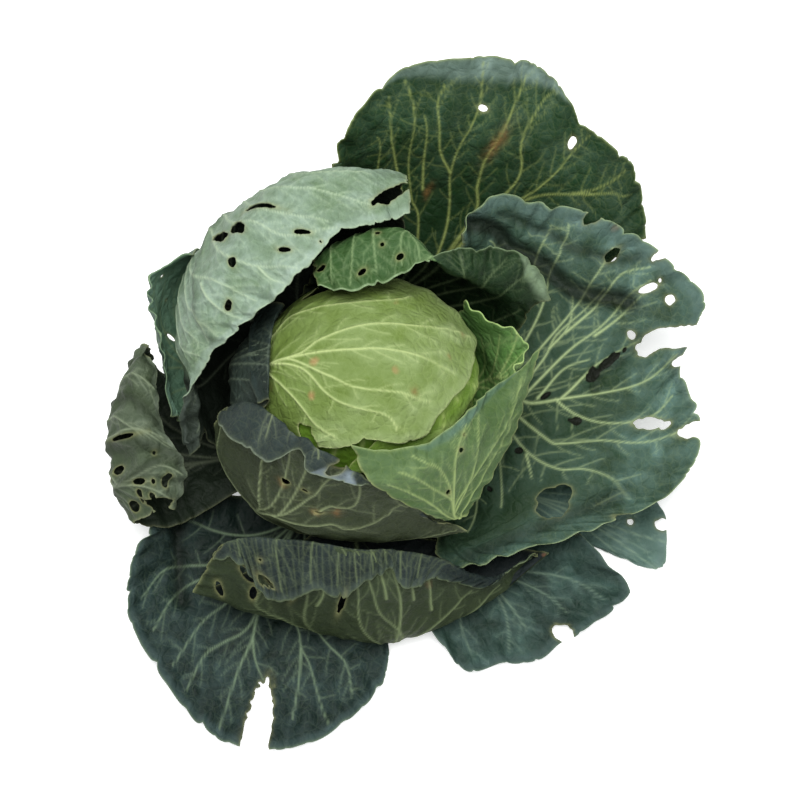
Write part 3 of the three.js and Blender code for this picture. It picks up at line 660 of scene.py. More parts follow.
def on_grid(grid, line):
    """Points of the sheet at a line's places, between the grid's points."""
    i = np.clip(np.interp(line[:, 0], grid["a"], np.arange(len(grid["a"]))), 0, len(grid["a"]) - 1.001)
    j = np.clip(np.interp(line[:, 1], grid["r"], np.arange(len(grid["r"]))), 0, len(grid["r"]) - 1.001)
    i0 = i.astype(int)
    j0 = j.astype(int)
    s = (i - i0)[:, None]
    t = (j - j0)[:, None]
    points = grid["points"]
    near = points[i0, j0] * (1 - s) + points[i0 + 1, j0] * s
    far = points[i0, j0 + 1] * (1 - s) + points[i0 + 1, j0 + 1] * s
    return near * (1 - t) + far * t


def flat_place(grid, line):
    """Places as flat coordinates in metres: the share of the width from the middle, and the reach."""
    width = np.interp(line[:, 1], grid["r"], grid["width"])
    return np.stack([(line[:, 0] - 0.5) * width, np.interp(line[:, 1], grid["r"], grid["reach"])], -1)


def place_of_flat(grid, flat):
    """The places across and outward of flat coordinates."""
    r = np.interp(flat[:, 1], grid["reach"], grid["r"])
    width = np.interp(r, grid["r"], grid["width"])
    return np.stack([0.5 + flat[:, 0] / width, r], -1)


def spread_veins():
    """Main veins by rule: a midrib, and pairs that leave it one after another and bend outward."""
    veins = [[(0.5, 0), (0.5, 0.95)]]
    for n in range(5):
        start = 0.16 + 0.13 * n
        side = 0.44 - 0.075 * n
        for way in (-1, 1):
            bend = (0.5 + 0.5 * way * side, start + 0.2)
            veins.append([(0.5, start), bend, (0.5 + way * side, start + 0.36)])
    return veins


def vein_lines(leaf, grid, seed):
    """Every vein as places, its half width at start and end, and whether it is a main one: the main ones,
    side veins that leave them by turns to the left and the right at an angle and bend along with them,
    and a fringe of short ones up to a frilled margin."""
    rng = np.random.default_rng(seed)
    lines = []
    given = [np.array(knots) / 100 for knots in leaf.get("veins", ())]
    for number, knots in enumerate(given or spread_veins()):
        trial = on_grid(grid, line_at(knots, np.linspace(0, 1, 30)))
        rough = np.linalg.norm(np.diff(trial, axis=0), axis=1).sum()
        count = max(int(rough / VEIN_SAMPLE), 4)
        line = line_at(knots, np.linspace(0, 1, count))
        lines.append((line, MAIN_VEIN if number else MIDRIB_VEIN, MAIN_VEIN_END, True))
        flat = flat_place(grid, line)
        way = 1 if number % 2 else -1
        run = 0.6 * SIDE_VEIN_STEP
        while run < rough - 0.3 * SIDE_VEIN_STEP:
            k = min(int(run / rough * (count - 1)), count - 2)
            heading = flat[k + 1] - flat[k]
            heading /= max(np.linalg.norm(heading), 1e-9)
            turn = way * math.radians(SIDE_VEIN_ANGLE + rng.uniform(-SIDE_VEIN_TURN, SIDE_VEIN_TURN))
            length = rng.uniform(*SIDE_VEIN_LENGTH) * MM * (1 - 0.45 * run / rough)
            t = np.linspace(0, 1, SIDE_VEIN_KNOTS)
            angle = turn * (1 - 0.55 * t)
            steps = np.stack([
                heading[0] * np.cos(angle) - heading[1] * np.sin(angle),
                heading[0] * np.sin(angle) + heading[1] * np.cos(angle),
            ], -1) * length / (SIDE_VEIN_KNOTS - 1)
            path = flat[k] + np.concatenate([[[0, 0]], np.cumsum(steps[:-1], axis=0)])
            places = place_of_flat(grid, path)
            inside = (places[:, 0] > 0.005) & (places[:, 0] < 0.995) & (places[:, 1] < 0.995)
            if inside[:3].all() and places[0, 1] > 0.12:
                end = SIDE_VEIN_KNOTS if inside.all() else inside.argmin()
                lines.append((places[:end], *SIDE_VEIN, False))
            way = -way
            run += SIDE_VEIN_STEP * rng.uniform(0.6, 1.15)
    first, last, count, start = leaf.get("fringe", (0, 0, 0, 0))
    for place in np.linspace(first, last, count):
        lean = rng.uniform(-0.008, 0.008)
        knots = [(place, start), (place + lean, 0.9), (place + 2 * lean, 0.985)]
        lines.append((line_at(knots, np.linspace(0, 1, 8)), *FRINGE_VEIN, False))
    return lines


def line_distance(grid, line, reach):
    """The block of the grid near a line of places, its distance from the line's nearest straight stretch,
    and the share of the line's length at the nearest point."""
    points = grid["points"]
    path = on_grid(grid, line)
    cell = np.linalg.norm(points[1:, 1:] - points[:-1, :-1], axis=-1).mean() / math.sqrt(2)
    pad = int(reach / cell) + 2
    i = np.interp([line[:, 0].min(), line[:, 0].max()], grid["a"], np.arange(len(grid["a"])))
    j = np.interp([line[:, 1].min(), line[:, 1].max()], grid["r"], np.arange(len(grid["r"])))
    block = np.s_[max(int(i[0]) - pad, 0): int(i[1]) + pad, max(int(j[0]) - pad, 0): int(j[1]) + pad]
    leg = np.diff(path, axis=0)
    size = np.maximum((leg**2).sum(-1), 1e-12)
    best = np.full(points[block].shape[:2], 1.0)
    share = np.zeros_like(best)
    for k in range(len(leg)):
        away = points[block] - path[k]
        t = np.clip((away @ leg[k]) / size[k], 0, 1)
        distance = np.linalg.norm(away - t[..., None] * leg[k], axis=-1)
        nearer = distance < best
        best[nearer] = distance[nearer]
        share[nearer] = (k + t[nearer]) / len(leg)
    return block, best, share


def vein_fields(leaf, grid, seed):
    """Over the grid: the height of the vein ridges, which fall off as a bell, the veins' colour share, and
    the distances to the nearest vein and to the nearest main vein."""
    shape = grid["points"].shape[:2]
    ridge = np.zeros(shape)
    tint = np.zeros(shape)
    gap = np.full(shape, VEIN_REACH)
    main_gap = np.full(shape, MAIN_REACH)
    for line, start, end, main in vein_lines(leaf, grid, seed):
        block, best, share = line_distance(grid, line, MAIN_REACH if main else VEIN_REACH)
        wide = start + (end - start) * np.sqrt(share)
        height = RIDGE_SHARE * wide * (1 if main else SIDE_RIDGE_SHARE)
        ridge[block] = np.maximum(ridge[block], height * np.exp(-((best / wide) ** 2)))
        strength = np.clip(1.1 * wide / MM - 0.25, 0.2, 1) * (1 if main else SIDE_TINT_SHARE)
        tint[block] = np.maximum(tint[block], strength * np.exp(-((best / (0.85 * wide)) ** 2)))
        gap[block] = np.minimum(gap[block], best)
        if main:
            main_gap[block] = np.minimum(main_gap[block], best)
    return ridge, tint, gap, main_gap


def crease_field(leaf, grid):
    """How far the creases lower the sheet: each a bell of the distance from its line."""
    field = np.zeros(grid["points"].shape[:2])
    for depth, half_width, knots in leaf.get("creases", ()):
        line = line_at(knots, np.linspace(0, 1, 24))
        block, best, _ = line_distance(grid, line, 3 * half_width * MM)
        field[block] = np.maximum(field[block], depth * np.exp(-((best / (half_width * MM)) ** 2)))
    return field


def oval_share(leaf, points, place):
    """Each point's distance from a place on the leaf as a share of an oval's size, the oval's halves lying
    across and outward and turned by an angle, and each point's height above the leaf there."""
    a, r, half_width, half_length, turn = place
    near = 0.004
    across_places = np.array([max(a - near, 0), a, min(a + near, 1)])
    around = leaf_points(leaf, across_places, np.tile([[max(r - near, 0), r, min(r + near, 1)]], (3, 1)))
    across = around[2, 1] - around[0, 1]
    outward = around[1, 2] - around[1, 0]
    outward /= np.linalg.norm(outward)
    square = np.cross(outward, across)
    square /= np.linalg.norm(square)
    across = np.cross(square, outward)
    away = points - around[1, 1]
    u = away @ across
    v = away @ outward
    cosine = math.cos(math.radians(turn))
    sine = math.sin(math.radians(turn))
    along_width = (u * cosine + v * sine) / (half_width * MM)
    along_length = (v * cosine - u * sine) / (half_length * MM)
    return np.hypot(along_width, along_length), away @ square


def spot_field(leaf, grid, kind):
    """The share of the colour of sore places, or of the painted shade of pits, which stand for holes: a bell
    of the share of an oval's size, with random heights added so that its edge is uneven. A pit's bell is the
    steeper one."""
    points = grid["points"]
    field = np.zeros(points.shape[:2])
    power = 5 if kind == "shaded_pits" else 2
    for place in leaf.get(kind, ()):
        share, _ = oval_share(leaf, points, place)
        share = np.maximum(share + SPOT_UNEVEN * random_heights(points, SPOT_GRAIN, 61), 0)
        field = np.maximum(field, np.exp(-(share ** power)))
    return field


def bloom_and_light_field(leaf, grid):
    """The share of the pale band along the margin, widest at its middle and gone at its ends: bloom, and on
    the back leaf also painted light.
    """
    depth, middle, half = leaf.get("bloom_and_light_band", PLAIN_MARGIN_BAND)
    here = depth * MM * np.maximum(1 - ((grid["a"][:, None] - middle) / half) ** 2, 0.02)
    return np.exp(-((grid["tip"] / here) ** 5))


def bite_field(leaf, grid, seed):
    """Distance inside the two side margins with their notches, and outside every bite: an oval's share of
    its size less one, times its smaller half, with random heights added so that the eaten edge is ragged.
    Positive where the blade is kept."""
    points = grid["points"]
    left = grid["across_run"]
    right = left[-1:] - left
    grown = fade(grid["r"], 0.4, 0.6)
    field = np.minimum(
        left - notches(grid["out_run"][0], leaf["rim"], seed + 23) * grown,
        right - notches(grid["out_run"][-1], leaf["rim"], seed + 25) * grown,
    ) + SIDE_CUT
    ragged = sum(share * random_heights(points, cell, seed + 21 + k)
                 for k, (share, cell) in enumerate(RAGGED_GRAINS))
    for place in leaf.get("bites", ()):
        oval, height = oval_share(leaf, points, place)
        small = min(place[2], place[3]) * MM
        distance = (oval - 1) * small + ragged * min(RAGGED_SHARE * small, RAGGED_MOST)
        distance[np.abs(height) > BITE_HEIGHT] = 0.1
        field = np.minimum(field, distance)
    return field


def cut_sheet(values, faces, field):
    """The triangles where field is positive. One that field crosses is cut along the line where it is
    zero, and all values at a cut are in proportion to the distances on both sides."""
    kept = field > 0
    inside = kept[faces]
    number = inside.sum(1)
    whole = faces[number == 3]
    one = faces[number == 1]
    turn = np.argmax(inside[number == 1], axis=1)
    one = one[np.arange(len(one))[:, None], (turn[:, None] + np.arange(3)) % 3]
    two = faces[number == 2]
    turn = np.argmin(inside[number == 2], axis=1)
    two = two[np.arange(len(two))[:, None], (turn[:, None] + np.arange(3)) % 3]
    crossings = np.concatenate([one[:, [0, 1]], one[:, [0, 2]], two[:, [1, 0]], two[:, [2, 0]]])
    if not len(crossings):
        return values, whole
    key = np.sort(crossings, axis=1)
    pairs, where = np.unique(key, axis=0, return_inverse=True)
    where = where.ravel() + len(values)
    low = field[pairs[:, 0]]
    high = field[pairs[:, 1]]
    t = (low / (low - high))[:, None]
    cuts = values[pairs[:, 0]] * (1 - t) + values[pairs[:, 1]] * t
    n = len(one)
    m = len(two)
    c01 = where[:n]
    c02 = where[n: 2 * n]
    c10 = where[2 * n: 2 * n + m]
    c20 = where[2 * n + m:]
    new_faces = [
        whole,
        np.stack([one[:, 0], c01, c02], -1),
        np.stack([two[:, 1], two[:, 2], c20], -1),
        np.stack([two[:, 1], c20, c10], -1),
    ]
    return np.concatenate([values, cuts]), np.concatenate(new_faces)


def largest_piece(values, faces):
    """The biggest connected part of a sheet: every point takes the lowest number among its neighbours,
    again and again, until each part has one number."""
    label = np.arange(len(values))
    while True:
        low = label[faces].min(1)
        new = label.copy()
        np.minimum.at(new, faces.ravel(), np.repeat(low, 3))
        new = new[new]
        if (new == label).all():
            break
        label = new
    names, counts = np.unique(label[faces[:, 0]], return_counts=True)
    faces = faces[label[faces[:, 0]] == names[counts.argmax()]]
    used, faces = np.unique(faces, return_inverse=True)
    return values[used], faces.reshape(-1, 3)


def grid_faces(columns, rows):
    """Two triangles for each cell of a grid of points, seen from the side that is up."""
    i, j = np.meshgrid(np.arange(columns - 1), np.arange(rows - 1), indexing="ij")
    p = (i * rows + j).ravel()
    return np.concatenate([
        np.stack([p, p + 1, p + rows + 1], -1),
        np.stack([p, p + rows + 1, p + rows], -1),
    ])


def mesh_piece(name, points, faces, marks):
    """An object at the origin from arrays of points, faces and named values at the points."""
    mesh = bpy.data.meshes.new(name)
    mesh.from_pydata(points, [], faces)
    for key, values in marks.items():
        mesh.attributes.new(key, "FLOAT", "POINT").data.foreach_set("value", values.astype(np.float32))
    mesh.polygons.foreach_set("use_smooth", np.ones(len(mesh.polygons), bool))
    mesh.update()
    piece = bpy.data.objects.new(name, mesh)
    bpy.context.scene.collection.objects.link(piece)
    return piece


def thickness(leaf, grid):
    """The blade, thicker at the stalk by the share of the way to it, and along the midrib as a bell."""
    a = grid["a"][:, None]
    r = grid["r"][None, :]
    stalk = np.maximum(1 - r / STALK_REACH, 0) if "seat" in leaf else 0 * r
    rib = np.exp(-(((a - 0.5) / MIDRIB_HALF_WIDTH) ** 2)) * (1 - r) * (0 if "over" in leaf else 1)
    return BLADE + (STALK - BLADE) * stalk + MIDRIB * rib * (1 - stalk)


def leaf_pieces(name, leaf, seed):
    """A leaf: both faces of the sheet, swollen between the veins and waved along the margin, the veins
    standing out below, with the bites cut away and a wall round every edge. A broad leaf's underside and
    wall are a piece of their own."""
    grid = leaf_grid(leaf, seed)
    ridge, tint, gap, main_gap = vein_fields(leaf, grid, seed + 31)
    across = grid["across_run"]
    outward = grid["out_run"]
    length = leaf["frill"] * MM
    wave = np.exp(-((grid["tip"] / length) ** 2)) * wobble(across[:, -1:], length, seed + 1)
    for margin, place, extra in ((across, 0, 3), (across[-1:] - across, -1, 5)):
        bell = np.exp(-((margin / length) ** 2))
        wave = wave + SIDE_CRIMP_SHARE * bell * wobble(outward[place][None], length, seed + extra)
    swell = PILLOW * (1 - np.exp(-((gap / PUFF_WIDTH) ** 2)))
    swell = swell + BILLOW * (1 - np.exp(-((main_gap / BILLOW_WIDTH) ** 2)))
    points = grid["points"]
    rough = sum(share * random_heights(points, cell, seed + 7 + k)
                for k, (share, cell) in enumerate(ROUGHNESS))
    calm = fade(outward, *CALM_FOOT)
    crease = crease_field(leaf, grid)
    shaded_pit = spot_field(leaf, grid, "shaded_pits")
    flare = leaf.get("flare", 0) * np.exp(-((grid["tip"] / FLARE_REACH) ** 2))
    relief = CRIMP * leaf["ruffle"] * wave + leaf["puff"] * (swell + rough)
    relief = relief - crease - PIT_DEPTH * shaded_pit - flare
    lift = relief * MM * calm
    up = grid["up"]
    top = points + up * (lift + UPPER_RIDGE_SHARE * ridge * calm)[..., None]
    bottom = points + up * (lift - thickness(leaf, grid) - ridge * calm)[..., None]
    bottom[..., 2] = np.maximum(bottom[..., 2], TABLE_GAP)
    top[..., 2] = np.maximum(top[..., 2], TABLE_GAP + BLADE)
    field = bite_field(leaf, grid, seed)
    margin = np.exp(-grid["edge"] / MARGIN_WIDTH)
    bitten = np.exp(-np.maximum(field, 0) / BITTEN_WIDTH)
    reach = np.tile(grid["r"], (len(grid["a"]), 1))
    # painted shade: the blade is coloured darker along each crease, the more the deeper the crease
    crease_shade = np.clip(crease / CREASE_SHADE_DEPTH, 0, 1)
    sore = spot_field(leaf, grid, "stains")
    shown = [tint, margin, bitten, bloom_and_light_field(leaf, grid), gap / VEIN_REACH, sore, shaded_pit, reach, crease_shade]
    under = np.tile(1 - fade(grid["a"][:, None], *leaf.get("dim", NEVER_DIM)), len(grid["r"]))
    values = np.concatenate([top, bottom, np.stack([*shown, under], -1)], -1)
    columns, rows, width = values.shape
    values, faces = cut_sheet(values.reshape(-1, width), grid_faces(columns, rows), field.ravel())
    values, faces = largest_piece(values, faces)
    count = len(values)
    ways = np.concatenate([faces[:, [0, 1]], faces[:, [1, 2]], faces[:, [2, 0]]])
    key = np.sort(ways, axis=1) @ np.array([count, 1])
    _, first, uses = np.unique(key, return_index=True, return_counts=True)
    rim = ways[first[uses == 1]]
    walls = np.concatenate([
        np.stack([rim[:, 0], rim[:, 0] + count, rim[:, 1] + count], -1),
        np.stack([rim[:, 0], rim[:, 1] + count, rim[:, 1]], -1),
    ])
    points = np.concatenate([values[:, :3], values[:, 3:6]])
    marks = {key: np.tile(values[:, 6 + k], 2) for k, key in enumerate(MARKS)}
    marks["side"] = np.concatenate([np.zeros(count), values[:, -1]])
    below = np.concatenate([faces[:, ::-1] + count, walls])
    if not leaf.get("broad"):
        return [mesh_piece(name, points, np.concatenate([faces, below]), marks)]
    upper = {key: held[:count] for key, held in marks.items()}
    return [
        mesh_piece(name, points[:count], faces, upper),
        mesh_piece(name + "_underside", points, below, marks),
    ]


def lathe_faces(around, levels):
    """Triangles of a closed surface of levels round an axis, the first and last of which are poles."""
    i, j = np.meshgrid(np.arange(around), np.arange(levels - 1), indexing="ij")
    p = (i + j * around).ravel()
    q = ((i + 1) % around + j * around).ravel()
    low = int((levels - 1) * around)
    faces = np.concatenate([np.stack([p, q, q + around], -1), np.stack([p, q + around, p + around], -1)])
    south = np.stack([np.full(around, low + around), (np.arange(around) + 1) % around, np.arange(around)], -1)
    north = np.stack([np.full(around, low + around + 1), low + np.arange(around),
                      low + (np.arange(around) + 1) % around], -1)
    return np.concatenate([faces, south, north])


def heart_piece():
    """The heart: an ellipsoid whose radius falls by a step where each covering leaf ends, along a circle
    tilted to its own side, with shallow ribs that run up from the stump."""
    around = 220
    levels = 140
    turn = np.linspace(0, 2 * math.pi, around, endpoint=False)[None, :]
    height = np.linspace(-math.pi / 2, math.pi / 2, levels + 2)[1:-1, None]
    flat = np.cos(height)
    way = np.stack([flat * np.cos(turn), flat * np.sin(turn), np.sin(height) + 0 * turn], -1)
    depth = np.full(way.shape[:2], LAYER_DEPTH)
    for heading, tilt in HEART_LAYERS:
        axis = np.array([math.cos(math.radians(heading)), math.sin(math.radians(heading)), -0.5])
        axis /= np.linalg.norm(axis)
        edge = way @ axis + tilt + 0.03 * np.sin(9 * turn) * np.cos(4 * height)
        depth = depth - LAYER_STEP * fade(edge, -0.004, 0.012)
    wander = np.cos(HEART_RIBS * turn + 2 * np.sin(3 * height))
    ribs = RIB_HEIGHT * wander * flat ** 2
    size = 1 - ((depth + ribs) * MM)[..., None] / HEART_RADII[0]
    points = HEART_CENTRE + way * HEART_RADII * size
    poles = HEART_CENTRE + np.array([[0, 0, -1], [0, 0, 1]]) * (HEART_RADII[2] - 3 * MM)
    vein = np.exp(-(((wander + 1) / 0.16) ** 2)) * flat ** 2
    points = np.concatenate([points.reshape(-1, 3), poles])
    vein = np.concatenate([vein.ravel(), [0, 0]])
    nothing = np.zeros(len(points))
    marks = dict(dict.fromkeys(MARKS, nothing), vein=vein, gap=nothing + 1, side=nothing + 1)
    return mesh_piece("heart_layers", points, lathe_faces(around, levels), marks)


def stump_piece():
    """The stump: a round profile from the middle of the cut up the side to the middle of the top, with
    slanting leaf scars as shallow bands and a rounded lower edge."""
    around = 90
    side = np.linspace(0, 1, 90)
    bevel = side[:8] / side[7] * math.pi / 2
    radius = np.concatenate([np.linspace(0.08, 0.97, 26), 0.97 + 0.03 * np.sin(bevel),
                             np.ones(60), np.linspace(0.995, 0.08, 24)]) * STUMP_RADIUS
    height = np.concatenate([np.zeros(26), 1.5 * MM * (1 - np.cos(bevel)),
                             np.linspace(1.6 * MM, STUMP_HEIGHT, 60), np.full(24, STUMP_HEIGHT)])
    turn = np.linspace(0, 2 * math.pi, around, endpoint=False)[None, :]
    up = height[:, None]
    scars = np.sin(up / (6.5 * MM) * 2 * math.pi + 2 * turn) ** 8
    on_side = fade(up, 1 * MM, 4 * MM) * fade(STUMP_HEIGHT - up, 0, 3 * MM)
    dent = (0.9 * scars + 0.35 * (1 + np.sin(17 * turn + 40 * up / STUMP_HEIGHT))) * MM * on_side
    across = radius[:, None] - dent
    points = np.stack([across * np.cos(turn), across * np.sin(turn), up + 0 * turn], -1)
    levels = len(height)
    poles = np.array([[0, 0, 0], [0, 0, STUMP_HEIGHT]])
    scar = np.concatenate([(scars * on_side + 0 * turn).ravel(), [0, 0]])
    points = np.concatenate([points.reshape(-1, 3), poles])
    cut = np.concatenate([np.repeat((height < 0.5 * MM) * 1.0, around), [1, 0]])
    return mesh_piece("cut_stump", points, lathe_faces(around, levels), dict(scar=scar, cut=cut))


def add(tree, kind, inputs=None, **settings):
    """A node of that kind with its settings, each input given a value or linked from a socket."""
    made = tree.nodes.new(kind)
    for key, value in settings.items():
        setattr(made, key, value)
    for key, value in (inputs or {}).items():
        if isinstance(value, bpy.types.NodeSocket):
            tree.links.new(value, made.inputs[key])
        else:
            made.inputs[key].default_value = value
    return made


def mark(tree, name):
    """The value of a mesh's named mark."""
    return add(tree, "ShaderNodeAttribute", attribute_name=name).outputs["Fac"]


def span(tree, value, low, high, first=0.0, last=1.0):
    """A value carried from one span to another, and held at its ends."""
    inputs = {"Value": value, "From Min": low, "From Max": high, "To Min": first, "To Max": last}
    return add(tree, "ShaderNodeMapRange", inputs).outputs["Result"]


def combine(tree, how, x, y):
    """Two values put together by one operation."""
    return add(tree, "ShaderNodeMath", {0: x, 1: y}, operation=how).outputs[0]


def times(tree, x, y):
    """The product of two values."""
    return combine(tree, "MULTIPLY", x, y)


def tinted(tree, share, first, second):
    """A colour that goes from the first to the second by a share."""
    return add(tree, "ShaderNodeMix", {0: share, 6: first, 7: second}, data_type="RGBA").outputs[2]


def grain(tree, where, scale, detail=3.0, rough=0.55, warp=0.0):
    """Cloudy noise at that many clouds a metre."""
    inputs = {"Vector": where, "Scale": scale, "Detail": detail, "Roughness": rough, "Distortion": warp}
    return add(tree, "ShaderNodeTexNoise", inputs).outputs["Fac"]


def rgb(red, green, blue):
    """A colour as it looks, 0 to 255, made the linear colour that the shader takes."""
    share = np.array([red, green, blue]) / 255
    linear = np.where(share <= 0.04045, share / 12.92, ((share + 0.055) / 1.055) ** 2.4)
    return (*map(float, linear), 1.0)


# Tones that all leaves share: sore places, specks, the edges of bites, and the dark tone of painted shade in
# creases, pits and shaded upper faces
SORE = rgb(124, 88, 50)
SPECK = rgb(168, 116, 84)
TAN = rgb(136, 138, 92)
PAINTED_SHADE = rgb(16, 20, 12)


def blank_skin(name):
    """A new material, its node tree and its shader."""
    material = bpy.data.materials.new(name)
    material.use_nodes = True
    tree = material.node_tree
    return material, tree, tree.nodes["Principled BSDF"]


def leaf_skin(name, tones, dust=0.3, spots=0.3, bloom_and_light_strength=0.5, bloom_and_light_band=None, inside=1.0, shaded=(0.52, 0.8)):
    """Leaf tissue: two tones in clouds on each side, a fine net of small veins, a waxy bloom in patches,
    pale veins and margin, tan edges round the bites and a few tan specks, with painted shade toward the foot,
    in the creases and pits and over an upper face that lies in shade."""
    face, face_deep, back, back_deep, vein, bloom = (rgb(*tone) for tone in tones)
    material, tree, shader = blank_skin(name)
    where = add(tree, "ShaderNodeTexCoord").outputs["Object"]
    clouds = grain(tree, where, CLOUDS, 3, 0.6, 0.6)
    fine = grain(tree, where, FINE_CLOUDS, 4, 0.6)
    noise = add(tree, "ShaderNodeTexNoise", {"Vector": where, "Scale": BEND_CLOUDS, "Detail": 2})
    bend = {0: noise.outputs["Color"], 1: (BEND, BEND, BEND)}
    bent = add(tree, "ShaderNodeVectorMath", bend, operation="MULTIPLY").outputs[0]
    warped = add(tree, "ShaderNodeVectorMath", {0: where, 1: bent}, operation="ADD").outputs[0]
    coarse_net, fine_net = (
        add(tree, "ShaderNodeTexVoronoi", {"Vector": warped, "Scale": cells}, feature="DISTANCE_TO_EDGE")
        .outputs["Distance"] for cells in (COARSE_NET, FINE_NET)
    )
    net = span(tree, coarse_net, 0.0, 0.085, 1.0, 0.0)
    mesh = span(tree, fine_net, 0.0, 0.12, 1.0, 0.0)
    side = mark(tree, "side")
    tone = span(tree, clouds, 0.38, 0.66)
    top = tinted(tree, tone, face, face_deep)
    below = tinted(tree, tone, back, back_deep)
    colour = tinted(tree, side, top, below)
    wax = grain(tree, where, WAX_CLOUDS, 5, 0.68, 1.2)
    deep = tinted(tree, side, face_deep, back_deep)
    sore = times(tree, mark(tree, "stain"), span(tree, fine, 0.3, 0.6, 0.2, 0.6))
    cells = add(tree, "ShaderNodeTexVoronoi", {"Vector": warped, "Scale": SPECK_CELLS, "Randomness": 1.0})
    dot = span(tree, cells.outputs["Distance"], 0.05, 0.16, 1.0, 0.0)
    chosen = add(tree, "ShaderNodeSeparateColor", {0: cells.outputs["Color"]}).outputs[0]
    speck = times(tree, dot, span(tree, chosen, 0.86, 0.9))
    for share, over in (
        (times(tree, mesh, 0.07), vein),
        (times(tree, net, 0.1), vein),
        (times(tree, span(tree, wax, 0.36, 0.68), dust), bloom),
        # the pale band along the margin: bloom, and on the back leaf painted light
        (times(tree, mark(tree, "bloom_and_light_band"), bloom_and_light_strength), bloom_and_light_band or bloom),
        (span(tree, mark(tree, "gap"), 0.05, 0.6, 0.0, 0.45), deep),
        # painted shade toward the foot of the leaf
        (span(tree, mark(tree, "reach"), *shaded, 0.8, 0.0), deep),
        (span(tree, fine, 0.35, 0.75, 0.0, 0.28), face_deep),
        (times(tree, mark(tree, "vein"), 0.8), vein),
        (times(tree, mark(tree, "margin"), 0.55), vein),
        (sore, SORE),
        (times(tree, speck, spots), SPECK),
        (times(tree, mark(tree, "bitten"), 0.5), TAN),
        # painted shade along the creases
        (times(tree, mark(tree, "crease_shade"), 0.8), PAINTED_SHADE),
        # painted shade in the pits
        (span(tree, mark(tree, "shaded_pit"), 0.25, 0.5), PAINTED_SHADE),
        # painted shade over the upper face, and past dim over the underside, stronger the lower inside is
        (span(tree, side, 0.0, 1.0, 1 - inside, 0.0), PAINTED_SHADE),
    ):
        colour = tinted(tree, share, colour, over)
    tree.links.new(colour, shader.inputs["Base Color"])
    sheen = span(tree, wax, 0.3, 0.7, LEAF_ROUGHNESS, LEAF_ROUGHNESS + 0.2)
    tree.links.new(sheen, shader.inputs["Roughness"])
    shader.inputs["Specular IOR Level"].default_value = LEAF_SPECULAR
    pillows = span(tree, coarse_net, 0.0, 0.3)
    relief = combine(tree, "ADD", times(tree, pillows, 0.9), times(tree, mesh, 0.2))
    relief = combine(tree, "ADD", relief, times(tree, fine, 0.7))
    bump = add(tree, "ShaderNodeBump", {"Height": relief, "Strength": 0.7, "Distance": 0.0008})
    tree.links.new(bump.outputs["Normal"], shader.inputs["Normal"])
    return material


def stump_skin():
    """The stump: pale green fibre in fine upright streaks, brown in the scars and in rings on the cut."""
    material, tree, shader = blank_skin("stump_fibre")
    where = add(tree, "ShaderNodeTexCoord").outputs["Object"]
    drawn = add(tree, "ShaderNodeMapping", {"Vector": where, "Scale": (1, 1, 0.12)}).outputs[0]
    streaks = grain(tree, drawn, 420, 5)
    stain = grain(tree, where, 60, 4)
    colour = tinted(tree, span(tree, streaks, 0.35, 0.65), rgb(176, 186, 132), rgb(140, 150, 96))
    colour = tinted(tree, span(tree, stain, 0.45, 0.7, 0, 0.6), colour, rgb(138, 120, 80))
    colour = tinted(tree, times(tree, mark(tree, "scar"), 0.7), colour, rgb(122, 104, 70))
    rings = add(tree, "ShaderNodeTexWave", {"Vector": where, "Scale": 26, "Distortion": 3, "Detail": 3},
                wave_type="RINGS", rings_direction="Z").outputs["Fac"]
    face = tinted(tree, rings, rgb(196, 184, 140), rgb(142, 112, 74))
    colour = tinted(tree, mark(tree, "cut"), colour, face)
    tree.links.new(colour, shader.inputs["Base Color"])
    shader.inputs["Roughness"].default_value = 0.75
    bump = add(tree, "ShaderNodeBump", {"Height": streaks, "Strength": 0.6, "Distance": 0.0006})
    tree.links.new(bump.outputs["Normal"], shader.inputs["Normal"])
    return material
